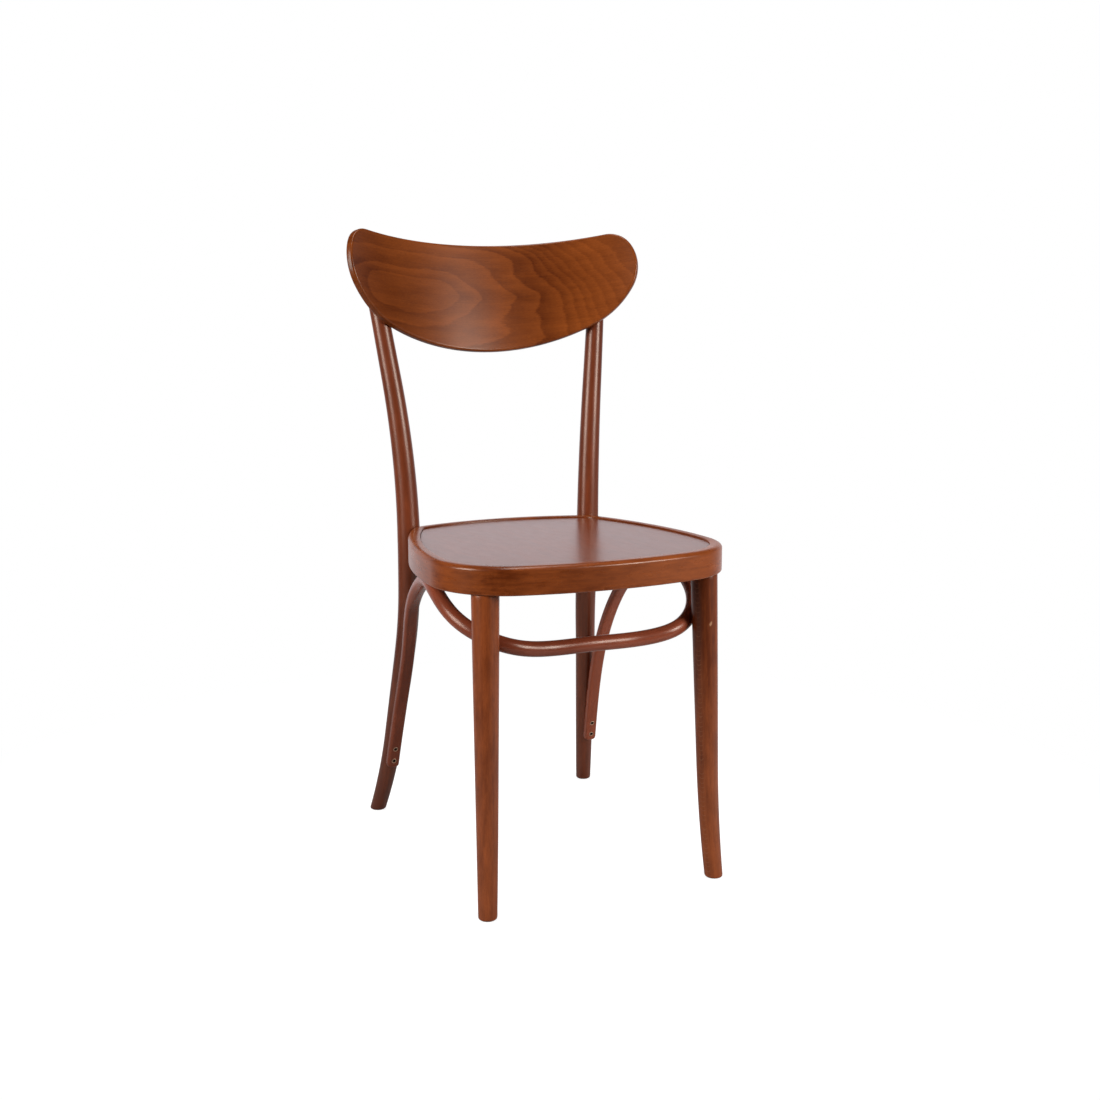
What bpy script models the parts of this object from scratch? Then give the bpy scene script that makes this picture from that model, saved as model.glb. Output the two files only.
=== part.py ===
"""Cafe chair in stained beech: ring seat, bent brace hoop, curved veneered backrest.

Metres, +Z up. The chair faces -Y and stands on z = 0, with x = 0 on its centre line.
The origin is on the floor under the middle of its overall width and depth.
"""

import math

import bmesh
import bpy
import numpy as np
from mathutils import Vector

# Fits shared by every joint
GAP = 0.0003            # clearance between two pieces that touch
SEAT_HEIGHT = 0.460     # top of the seat ring above the floor

# Seat ring: its outline from the front centre round to the back centre, as tangent arcs
RING_FRONT_Y = -0.2425
FRONT_RADIUS = 0.578
FRONT_ARC = 12.5        # degrees, half of the front edge
CORNER_RADIUS = 0.1054
SIDE_RADIUS = 0.559
SIDE_ARC = 25.5
REAR_CORNER_RADIUS = 0.045
REAR_CORNER_ARC = 44.9
BACK_ARC = 19.5         # degrees, half of the back edge; its radius closes the outline
RING_DEPTH = 0.0367     # height of the bent frame
RING_WIDTH = 0.032
RIM_WIDTH = 0.017       # rim seen around the panel
RIM_CREST = 0.009       # flat part of the rim, from its inner edge
RIM_DROP = 0.0055       # how far the rim rolls over on its outer side
RING_EDGE = 0.002       # rounding of the lower outer edge

# Seat panel in the ring's rebate
PANEL_RECESS = 0.0023
PANEL_THICKNESS = 0.006
PANEL_EDGE = 0.0006

# Front legs: turned, splayed a little, with a foot that flares
FRONT_LEG_HEADING = 40.4     # degrees, where the ring's edge passes over the leg
FRONT_LEG_INSET = 0.001      # leg's top inside the ring's edge
FRONT_LEG_TOP = 0.0181       # radius
FRONT_LEG_FOOT = 0.0124
FRONT_SPLAY_X = 0.016        # slopes of the straight run
FRONT_SPLAY_Y = 0.0427
FRONT_FLARE_Z = 0.16         # height where the foot starts to flare
FRONT_FLARE_X = 4.1          # radii of the flare, sideways and forward
FRONT_FLARE_Y = 1.78
TENON_RADIUS = 0.008
TENON_LENGTH = 0.021

# Rear legs, which run on up as the posts of the back
REAR_LEG_HEADING = 146.8
REAR_LEG_SEAT = 0.0168       # radius at the seat
REAR_LEG_FOOT = 0.0116
REAR_LEG_TOP = 0.0124
REAR_NOTCH = 0.0006          # depth of the flat where the ring fits
LEG_SWELL_Z = 0.440          # height of the thickest place
REAR_BEND_Z = 0.360          # below here the leg bends outward
REAR_BEND_X = 1.0
REAR_LEAN_X = 0.085
REAR_RAKE_Z = 0.450          # below here the leg rakes backward
REAR_RAKE_Y = 1.1
REAR_LEAN_Y = 0.200
REAR_FLARE_Z = 0.130
REAR_FLARE_X = 1.48
REAR_FLARE_Y = 0.69
POST_SPREAD_Z = 0.420        # above here the posts spread
POST_SPREAD = 2.0
POST_SLOPE_X = 0.125
POST_LEAN_Z = 0.430          # above here the posts lean back
POST_LEAN = 1.6
POST_SLOPE_Y = 0.160
POST_TOP_BEND = 0.80         # behind the backrest the posts bend on to its lean
POST_ROUNDING = 0.007
FOOT_EDGE = 0.0030           # rounding round the foot

# Backrest: a veneered shell, curved to the sitter and leaning back
BACK_RADIUS = 0.345          # of its hollow front
BACK_LEAN = 16.7             # degrees
BACK_THICKNESS = 0.0106
BACK_EDGE = 0.0032
BACK_TOP_Z = 0.8682          # top edge on the centre line
BACK_TOP_RADIUS = 8.2        # the top edge sags by this wide arc
BACK_HALF_SPAN = 0.1995      # along the shell, to where the horns begin
BACK_HORN_RADIUS = 0.0411
BACK_HORN_ARC = 65.6
BACK_SIDE_RADIUS = 0.0626
BACK_SIDE_ARC = 61.8
BACK_UNDER_RADIUS = 0.142
BACK_UNDER_ARC = 33.4
BACK_BITE = 0.0012           # depth of the seat planed on a post for the shell
BACK_SEAT_DROP = 0.1032      # from the top edge down to where that depth is measured
POST_BEND_DROP = 0.1282      # from the top edge down to where the posts bend
POST_TOP_DROP = 0.0302       # from the top edge down to the ends of the posts

# Brace hoop: one bent rod, flattened where it lies on the rear legs
ROD_RADIUS = 0.01035
STRAP_WIDTH = 0.0188
STRAP_THICKNESS = 0.013
STRAP_CORNER = 0.0042
STRAP_BITE = 0.0021          # depth of its seat on the rear leg
STRAP_FOOT_Z = 0.083
STRAP_OUT = 0.0012
STRAP_RISE = (               # height, forward of the leg, outward of the leg
    (0.184, 0.0253, 0.0049),
    (0.2855, 0.0470, 0.0120),
    (0.357, 0.0815, 0.0218),
)
STRAP_FULL_Z = 0.345         # flat section below this height, round above STRAP_ROUND_Z
STRAP_ROUND_Z = 0.398
STRAP_SEAT_Z = 0.220         # the strap has left the leg's surface below this height
ARCH_TOP_Y = -0.0446
ARCH_INSET = 0.0205          # rod's axis inside the ring's edge
ARCH_FLAT = 0.0008           # depth of the flat under the ring
ARCH_REAR_Y = 0.0084
ARCH_REAR_DROP = 0.0223      # below the ring's underside
ARCH_REAR_IN = 0.0075
ARCH_FRONT_Y = -0.129
ARCH_FRONT_DROP = 0.0415
ARCH_FRONT_IN = 0.0035
FRONT_TOUCH_Z = 0.357        # where the rod touches the front leg
FRONT_TOUCH_ANGLE = 57.0     # degrees, from inward toward the back
BAR_Z = 0.339
BAR_Y = -0.1785
BAR_SPREAD = 0.067
BAR_CORNER_X = 0.124
BAR_CORNER_RISE = 0.0105
BAR_CORNER_FORWARD = 0.0025

# Fasteners
SCREW_SHANK = 0.0020
SCREW_HEAD = 0.0037
SCREW_CONE = 0.0026
SCREW_RIM = 0.0005
SCREW_SUNK = 0.0006          # head below a round surface
SOCKET_RADIUS = 0.0021
SOCKET_DEPTH = 0.0020
STRAP_SCREW_Z = (0.0935, 0.1135)
STRAP_SCREW_LENGTH = 0.028
FRONT_SCREW_LENGTH = 0.034
ARCH_SCREW_LENGTH = 0.038
BACK_SCREW_DROP = (0.1042, 0.0562)   # from the backrest's top edge down
BACK_SCREW_BITE = 0.0065     # into the shell
BOLT_SHANK = 0.003
BOLT_HEAD = 0.00577          # hexagon's corner radius
BOLT_HEAD_HEIGHT = 0.004
BOLT_LENGTH = 0.048
BOLT_Z = 0.0130              # above the ring's underside
WASHER_RADIUS = 0.008
WASHER_THICKNESS = 0.0015
SPOT_FACE_RADIUS = 0.0092
SPOT_FACE_DEPTH = 0.0020

# Fineness of the facets
LEG_SIDES = 20
LEG_STEP = 0.026
ROD_QUARTER = 3
ROD_STEP = 0.015
FIT_SIDES = 12

RING_BOTTOM = SEAT_HEIGHT - RING_DEPTH
BACK_SEAT_Z = BACK_TOP_Z - BACK_SEAT_DROP
POST_TOP_Z = BACK_TOP_Z - POST_TOP_DROP
ROD_SIDES = 4 * (ROD_QUARTER + 1)
UP = Vector((0.0, 0.0, 1.0))


# Helpers

def clear_scene():
    for obj in list(bpy.data.objects):
        bpy.data.objects.remove(obj)


def finish(material, color, roughness, metallic=0.0):
    mat = bpy.data.materials.new(material)
    mat.use_nodes = True
    shader = mat.node_tree.nodes["Principled BSDF"]
    shader.inputs["Base Color"].default_value = (*color, 1.0)
    shader.inputs["Roughness"].default_value = roughness
    shader.inputs["Metallic"].default_value = metallic
    return mat


def add(name, bm, mat=None, smooth=40.0):
    """Turn a bmesh into a named object; without a material it is a cutter."""
    bmesh.ops.recalc_face_normals(bm, faces=bm.faces)
    if bm.calc_volume(signed=True) < 0.0:
        bmesh.ops.reverse_faces(bm, faces=bm.faces)
    mesh = bpy.data.meshes.new(name)
    bm.to_mesh(mesh)
    bm.free()
    obj = bpy.data.objects.new(name, mesh)
    bpy.context.scene.collection.objects.link(obj)
    if mat:
        mesh.materials.append(mat)
        mesh.shade_smooth()
        mesh.set_sharp_from_angle(angle=math.radians(smooth))
    else:
        obj.hide_render = True
        obj.display_type = "WIRE"
    return obj


def cut(obj, *cutters):
    for cutter in cutters:
        mod = obj.modifiers.new("cut " + cutter.name, "BOOLEAN")
        mod.operation = "DIFFERENCE"
        mod.object = cutter


def skin(bm, rings, closed=False):
    """Quads between rings of equal count; an open run gets flat ends."""
    loops = [[bm.verts.new(p) for p in ring] for ring in rings]
    count = len(loops[0])
    pairs = list(zip(loops, loops[1:]))
    if closed:
        pairs.append((loops[-1], loops[0]))
    for low, high in pairs:
        for i in range(count):
            j = (i + 1) % count
            bm.faces.new((low[i], low[j], high[j], high[i]))
    if not closed:
        bm.faces.new(loops[0])
        bm.faces.new(loops[-1])


def run_out(distance, radius, slope):
    """Offset of a line that bends away at a radius until it has this slope, then runs straight."""
    if distance <= 0.0:
        return 0.0
    bend = radius * slope
    if distance < bend:
        return distance ** 2 / (2.0 * radius)
    return bend * slope / 2.0 + (distance - bend) * slope


def smooth_step(value, low, high):
    x = min(1.0, max(0.0, (value - low) / (high - low)))
    return x * x * (3.0 - 2.0 * x)


def through(points, step):
    """Even points and tangents on the smooth curve through the given points."""
    p = np.array(points, float)
    t = np.concatenate(([0.0], np.cumsum(np.linalg.norm(np.diff(p, axis=0), axis=1))))
    h = np.diff(t)
    n = len(p)
    a = np.eye(n)
    b = np.zeros((n, 3))
    for i in range(1, n - 1):
        a[i, i - 1:i + 2] = h[i - 1], 2.0 * (h[i - 1] + h[i]), h[i]
        b[i] = 6.0 * ((p[i + 1] - p[i]) / h[i] - (p[i] - p[i - 1]) / h[i - 1])
    m = np.linalg.solve(a, b)
    u = np.linspace(0.0, t[-1], int(t[-1] / step) // 2 * 2 + 1)
    k = np.clip(np.searchsorted(t, u, side="right") - 1, 0, n - 2)
    hk = h[k][:, None]
    lo = (t[k + 1] - u)[:, None]
    hi = (u - t[k])[:, None]
    c0 = p[k] / hk - m[k] * hk / 6.0
    c1 = p[k + 1] / hk - m[k + 1] * hk / 6.0
    pos = (m[k] * lo ** 3 + m[k + 1] * hi ** 3) / (6.0 * hk) + c0 * lo + c1 * hi
    tan = (m[k + 1] * hi ** 2 - m[k] * lo ** 2) / (2.0 * hk) - c0 + c1
    return [Vector(q) for q in pos], [Vector(q).normalized() for q in tan]


def lathe(bm, point, direction, profile, sides, hexagons=()):
    """Rings of the given radii and depths along a direction; listed ones are hexagons."""
    axis = Vector(direction).normalized()
    side = axis.orthogonal().normalized()
    other = axis.cross(side)
    rings = []
    for index, (radius, depth) in enumerate(profile):
        ring = []
        for i in range(sides):
            angle = 2.0 * math.pi * i / sides
            r = radius
            if index in hexagons:
                r *= math.cos(math.pi / 6) / math.cos(angle % (math.pi / 3) - math.pi / 6)
            out = side * math.cos(angle) + other * math.sin(angle)
            ring.append(Vector(point) + axis * depth + out * r)
        rings.append(ring)
    skin(bm, rings)


# Seat outline

def ring_arcs():
    corner = 180.0 - FRONT_ARC - SIDE_ARC - REAR_CORNER_ARC - BACK_ARC
    return (
        (FRONT_RADIUS, FRONT_ARC, 5),
        (CORNER_RADIUS, corner, 12),
        (SIDE_RADIUS, SIDE_ARC, 7),
        (REAR_CORNER_RADIUS, REAR_CORNER_ARC, 6),
        (None, BACK_ARC, 5),
    )


def outline_point(heading):
    """Point on the ring's outer edge, on the +X side, where the edge has this heading (degrees)."""
    x, y, turned = 0.0, RING_FRONT_Y, 0.0
    for radius, arc, _ in ring_arcs():
        if radius is None:
            radius = x / math.sin(math.radians(180.0 - turned))
        end = min(heading, turned + arc)
        h0, h1 = math.radians(turned), math.radians(end)
        x += radius * (math.sin(h1) - math.sin(h0))
        y += radius * (math.cos(h0) - math.cos(h1))
        turned += arc
        if heading <= turned:
            break
    return x, y


def inward(heading):
    h = math.radians(heading)
    return -math.sin(h), math.cos(h)


def ring_headings():
    """Headings of the outline's corners on the +X side, front centre to back centre."""
    headings = [0.0]
    for _, arc, steps in ring_arcs():
        headings += [headings[-1] + arc * (i + 1) / steps for i in range(steps)]
    headings[-1] = 180.0
    return headings


def outline(offset):
    """Closed outline moved inward by an offset."""
    right = []
    for heading in ring_headings():
        x, y = outline_point(heading)
        nx, ny = inward(heading)
        right.append((x + nx * offset, y + ny * offset))
    left = [(-x, y) for x, y in reversed(right[1:-1])]
    return [(0.0, right[0][1])] + right[1:-1] + [(0.0, right[-1][1])] + left


def edge_at_y(target):
    """Outer edge's x at a depth y on the ring's side."""
    low = FRONT_ARC
    high = 180.0 - BACK_ARC
    for _ in range(40):
        middle = (low + high) / 2.0
        if outline_point(middle)[1] < target:
            low = middle
        else:
            high = middle
    return outline_point(low)[0]


# Axes of the legs

def front_leg_axis(z):
    heading = FRONT_LEG_HEADING
    x, y = outline_point(heading)
    nx, ny = inward(heading)
    inset = FRONT_LEG_TOP + FRONT_LEG_INSET
    drop = RING_BOTTOM - z
    flare = FRONT_FLARE_Z - z
    x += nx * inset + FRONT_SPLAY_X * drop + run_out(flare, FRONT_FLARE_X, 1.0)
    y += ny * inset - FRONT_SPLAY_Y * drop - run_out(flare, FRONT_FLARE_Y, 1.0)
    return x, y


def front_leg_radius(z):
    share = min(1.0, max(0.0, z / RING_BOTTOM))
    return FRONT_LEG_FOOT + (FRONT_LEG_TOP - FRONT_LEG_FOOT) * share ** 0.85


def rear_leg_axis(z):
    heading = REAR_LEG_HEADING
    x, y = outline_point(heading)
    nx, ny = inward(heading)
    out = REAR_LEG_SEAT - REAR_NOTCH + GAP
    flare = REAR_FLARE_Z - z
    x += run_out(REAR_BEND_Z - z, REAR_BEND_X, REAR_LEAN_X) + run_out(flare, REAR_FLARE_X, 1.0)
    x += run_out(z - POST_SPREAD_Z, POST_SPREAD, POST_SLOPE_X) - nx * out
    y += run_out(REAR_RAKE_Z - z, REAR_RAKE_Y, REAR_LEAN_Y) + run_out(flare, REAR_FLARE_Y, 1.0)
    y += run_out(z - POST_LEAN_Z, POST_LEAN, POST_SLOPE_Y) - ny * out
    y += run_out(z - BACK_TOP_Z + POST_BEND_DROP, POST_TOP_BEND, 1.0)
    return x, y


def rear_leg_radius(z):
    if z < LEG_SWELL_Z:
        return REAR_LEG_FOOT + (REAR_LEG_SEAT - REAR_LEG_FOOT) * max(0.0, z / LEG_SWELL_Z) ** 0.75
    share = (z - LEG_SWELL_Z) / (POST_TOP_Z - LEG_SWELL_Z)
    return REAR_LEG_SEAT + (REAR_LEG_TOP - REAR_LEG_SEAT) * share


def leg_rings(axis, radius, side, heights):
    """Level rings round a leaning axis, stretched to stay round; heights hold (z, inset)."""
    rings = []
    for z, inset in heights:
        x, y = axis(z)
        x1, y1 = axis(z + 0.001)
        x0, y0 = axis(z - 0.001)
        slope = Vector((x1 - x0, y1 - y0, 0.0)) / 0.002
        stretch = math.sqrt(1.0 + slope.length_squared) - 1.0
        lean = slope.normalized() if slope.length > 1e-6 else Vector((1.0, 0.0, 0.0))
        ring = []
        for i in range(LEG_SIDES):
            angle = 2.0 * math.pi * (i + 0.5) / LEG_SIDES
            r = Vector((math.cos(angle), math.sin(angle), 0.0)) * (radius(z) - inset)
            r += lean * (r.dot(lean) * stretch)
            ring.append(Vector((side * (x + r.x), y + r.y, z)))
        rings.append(ring)
    return rings


def rounded(z, edge, up, steps=3):
    """Heights and insets of a rounded end at z, which lies below the leg when up is 1."""
    turns = [math.radians(90.0 * i / steps) for i in range(steps + 1)]
    rows = [(z + up * edge * (1.0 - math.cos(a)), edge * (1.0 - math.sin(a))) for a in turns]
    return rows if up > 0 else rows[::-1]


def even(low, high, step):
    """Heights strictly between two ends."""
    count = max(1, round((high - low) / step))
    return [(low + (high - low) * i / count, 0.0) for i in range(1, count)]


# Backrest geometry

def back_frame():
    """Point at the top of the shell's front on the centre line, its up and back directions."""
    lean = math.radians(BACK_LEAN)
    up = Vector((0.0, math.sin(lean), math.cos(lean)))
    back = Vector((0.0, math.cos(lean), -math.sin(lean)))
    x, y = rear_leg_axis(BACK_SEAT_Z)
    reach = BACK_RADIUS + BACK_THICKNESS + rear_leg_radius(BACK_SEAT_Z) - BACK_BITE
    depth = math.sqrt(reach ** 2 - x ** 2) - BACK_RADIUS
    top_y = y - (depth + (BACK_SEAT_Z - BACK_TOP_Z) * math.sin(lean)) / math.cos(lean)
    return Vector((0.0, top_y, BACK_TOP_Z)), up, back


def shell_point(along, height, depth):
    """Place of a point given along the shell, up it and behind its front."""
    top, up, back = back_frame()
    angle = along / BACK_RADIUS
    reach = BACK_RADIUS + depth
    across = Vector((reach * math.sin(angle), 0.0, 0.0))
    return top + up * height + across + back * (reach * math.cos(angle) - BACK_RADIUS)


def shell_outline():
    """The flat shape of the shell on its +X side, from the top centre round to the bottom centre."""
    heading = math.asin(BACK_HALF_SPAN / BACK_TOP_RADIUS)
    points = []
    for i in range(7):
        turn = heading * i / 6
        points.append((BACK_TOP_RADIUS * math.sin(turn), BACK_TOP_RADIUS * (1.0 - math.cos(turn))))
    arcs = (
        (BACK_HORN_RADIUS, BACK_HORN_ARC, 9),
        (BACK_SIDE_RADIUS, BACK_SIDE_ARC, 8),
        (BACK_UNDER_RADIUS, BACK_UNDER_ARC, 6),
    )
    for radius, arc, steps in arcs:
        s0, t0 = points[-1]
        for i in range(1, steps + 1):
            turn = math.radians(arc) * i / steps
            s = s0 + radius * (math.sin(heading) - math.sin(heading - turn))
            t = t0 + radius * (math.cos(heading - turn) - math.cos(heading))
            points.append((s, t))
        heading -= math.radians(arc)
    s0, t0 = points[-1]
    rest = heading + math.pi
    radius = s0 / math.sin(rest)
    for i in range(1, 10):
        turn = rest * i / 9
        s = s0 + radius * (math.sin(heading) - math.sin(heading - turn))
        t = t0 + radius * (math.cos(heading - turn) - math.cos(heading))
        points.append((s, t))
    points[-1] = (0.0, points[-1][1])
    return points


def shell(bm, edge, grow=0.0):
    """Flat plate with rounded edges, sliced into strips and bent round the sitter."""
    right = shell_outline()
    left = [(-s, t) for s, t in reversed(right[1:-1])]
    verts = [bm.verts.new((s, t, -grow)) for s, t in right + left]
    plate = bm.faces.new(verts)
    out = bmesh.ops.extrude_face_region(bm, geom=[plate])
    lifted = [v for v in out["geom"] if isinstance(v, bmesh.types.BMVert)]
    bmesh.ops.translate(bm, verts=lifted, vec=(0.0, 0.0, BACK_THICKNESS + 2.0 * grow))
    bmesh.ops.recalc_face_normals(bm, faces=bm.faces)
    if edge:
        rims = [e for e in bm.edges if abs(e.verts[0].co.z - e.verts[1].co.z) < 1e-9]
        bmesh.ops.bevel(bm, geom=rims, offset=edge, segments=3, profile=0.5, affect="EDGES")
    count = 32
    span = BACK_HALF_SPAN + BACK_HORN_RADIUS
    for i in range(-count // 2 + 1, count // 2):
        at = span * i / (count / 2)
        geom = list(bm.verts) + list(bm.edges) + list(bm.faces)
        place = (at, 0.0, 0.0)
        bmesh.ops.bisect_plane(bm, geom=geom, dist=1e-6, plane_co=place, plane_no=(1.0, 0.0, 0.0))
    for v in bm.verts:
        v.co = shell_point(v.co.x, v.co.y, v.co.z)


# Brace path

def brace_stations():
    """Points the rod's axis passes through on the +X side, strap foot to front centre."""
    x, y = rear_leg_axis(STRAP_FOOT_Z)
    seat = rear_leg_radius(STRAP_FOOT_Z) + STRAP_THICKNESS / 2.0 - STRAP_BITE + GAP
    stations = [(x + STRAP_OUT, y - seat, STRAP_FOOT_Z)]
    for z, forward, outward in STRAP_RISE:
        x, y = rear_leg_axis(z)
        stations.append((x + outward, y - forward, z))
    top = edge_at_y(ARCH_TOP_Y) - ARCH_INSET
    stations.append((top - ARCH_REAR_IN, ARCH_REAR_Y, RING_BOTTOM - ARCH_REAR_DROP))
    stations.append((top, ARCH_TOP_Y, RING_BOTTOM - GAP - ROD_RADIUS + ARCH_FLAT))
    stations.append((top - ARCH_FRONT_IN, ARCH_FRONT_Y, RING_BOTTOM - ARCH_FRONT_DROP))
    stations.append(tuple(front_touch()))
    stations.append((BAR_CORNER_X, BAR_Y - BAR_CORNER_FORWARD, BAR_Z + BAR_CORNER_RISE))
    stations.append((BAR_SPREAD, BAR_Y, BAR_Z))
    stations.append((0.0, BAR_Y, BAR_Z))
    return stations


def touch_direction():
    angle = math.radians(FRONT_TOUCH_ANGLE)
    return Vector((-math.cos(angle), math.sin(angle), 0.0))


def front_touch():
    """Rod's axis where it touches the front leg."""
    x, y = front_leg_axis(FRONT_TOUCH_Z)
    reach = front_leg_radius(FRONT_TOUCH_Z) + ROD_RADIUS + GAP
    return Vector((x, y, FRONT_TOUCH_Z)) + touch_direction() * reach


def brace_path():
    half = brace_stations()
    mirrored = [(-x, y, z) for x, y, z in reversed(half[:-1])]
    points, tangents = through(half + mirrored, ROD_STEP)
    middle = len(points) // 2
    points[middle].x = 0.0
    tangents[middle] = Vector((-1.0, 0.0, 0.0))
    return points[:middle + 1], tangents[:middle + 1]


def brace_section(z, arch, grow):
    """Rounded oblong: the strap's below, a circle above; arch is true past the top of the side."""
    flat = 0.0 if arch else 1.0 - smooth_step(z, STRAP_FULL_Z, STRAP_ROUND_Z)
    half_width = ROD_RADIUS + (STRAP_WIDTH / 2.0 - ROD_RADIUS) * flat + grow
    half_depth = ROD_RADIUS + (STRAP_THICKNESS / 2.0 - ROD_RADIUS) * flat + grow
    corner = ROD_RADIUS + (STRAP_CORNER - ROD_RADIUS) * flat + grow
    corner = min(corner, half_width, half_depth)
    ring = []
    for quarter in range(4):
        for i in range(ROD_QUARTER + 1):
            angle = math.pi / 2.0 * (quarter + i / ROD_QUARTER * 0.8 + 0.1)
            c, s = math.cos(angle), math.sin(angle)
            w = math.copysign(half_width - corner, c) + corner * c
            d = math.copysign(half_depth - corner, s) + corner * s
            ring.append((w, d))
    return ring


def brace_rings(grow=0.0, limit=None):
    """Sections along half of the hoop, carried along the path without twist."""
    points, tangents = brace_path()
    back = Vector((0.0, 1.0, 0.0))
    rings = []
    for index, (point, tangent) in enumerate(zip(points, tangents)):
        back = (back - tangent * back.dot(tangent)).normalized()
        wide = back.cross(tangent)
        arch = point.y < ARCH_REAR_Y
        if limit and point.z > limit:
            break
        section = brace_section(point.z, arch, grow)
        rings.append([point + wide * w + back * d for w, d in section])
    return rings


def strap_point(z):
    """Point and backward direction on the rod's axis at a height on the strap."""
    points, tangents = brace_path()
    for low, high, tangent in zip(points, points[1:], tangents):
        if low.z <= z <= high.z:
            share = (z - low.z) / (high.z - low.z)
            back = Vector((0.0, 1.0, 0.0))
            back = (back - tangent * back.dot(tangent)).normalized()
            return low.lerp(high, share), back
    return points[0], Vector((0.0, 1.0, 0.0))


# Fasteners

def screw(bm, point, direction, length, grow=0.0):
    """Countersunk screw with a hexagon socket; grown, it is the hole for one, open above the head."""
    if grow:
        rows = [(SCREW_HEAD + grow, -0.006), (SCREW_HEAD + grow, SCREW_RIM)]
        rows += [(SCREW_SHANK + grow, SCREW_RIM + SCREW_CONE), (SCREW_SHANK + grow, length + 0.001)]
        lathe(bm, point, direction, rows, FIT_SIDES)
        return
    rows = [
        (SOCKET_RADIUS, SOCKET_DEPTH),
        (SOCKET_RADIUS, 0.0002),
        (SCREW_HEAD, 0.0002),
        (SCREW_HEAD, SCREW_RIM),
        (SCREW_SHANK, SCREW_RIM + SCREW_CONE),
        (SCREW_SHANK, length - 0.004),
        (0.0004, length),
    ]
    lathe(bm, point, direction, rows, FIT_SIDES, hexagons=(0, 1))


def drive(name, point, direction, length, material, pieces):
    """Screw as a piece of its own, with its hole in each piece that it passes through."""
    bm = bmesh.new()
    screw(bm, point, direction, length)
    add(name, bm, material, 30.0)
    bm = bmesh.new()
    screw(bm, point, direction, length, GAP)
    hole = add(name + "_hole", bm)
    for piece in pieces:
        cut(piece, hole)


def mirrored(vector, side):
    return Vector((side * vector.x, vector.y, vector.z))


def back_screw_places():
    """Heads on the posts' backs, and the way into the shell, on the +X side."""
    top, up, back = back_frame()
    places = []
    for drop in BACK_SCREW_DROP:
        z = BACK_TOP_Z - drop
        x, y = rear_leg_axis(z)
        axis = Vector((x, y, z)) - top
        angle = math.atan2(axis.x, axis.dot(back) + BACK_RADIUS)
        out = Vector((math.sin(angle), 0.0, 0.0)) + back * math.cos(angle)
        head = Vector((x, y, z)) + out * rear_leg_radius(z)
        reach = axis.x * math.sin(angle) + (axis.dot(back) + BACK_RADIUS) * math.cos(angle)
        length = reach + rear_leg_radius(z) - BACK_RADIUS - BACK_THICKNESS + BACK_SCREW_BITE
        places.append((head, -out, length))
    return places


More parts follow.
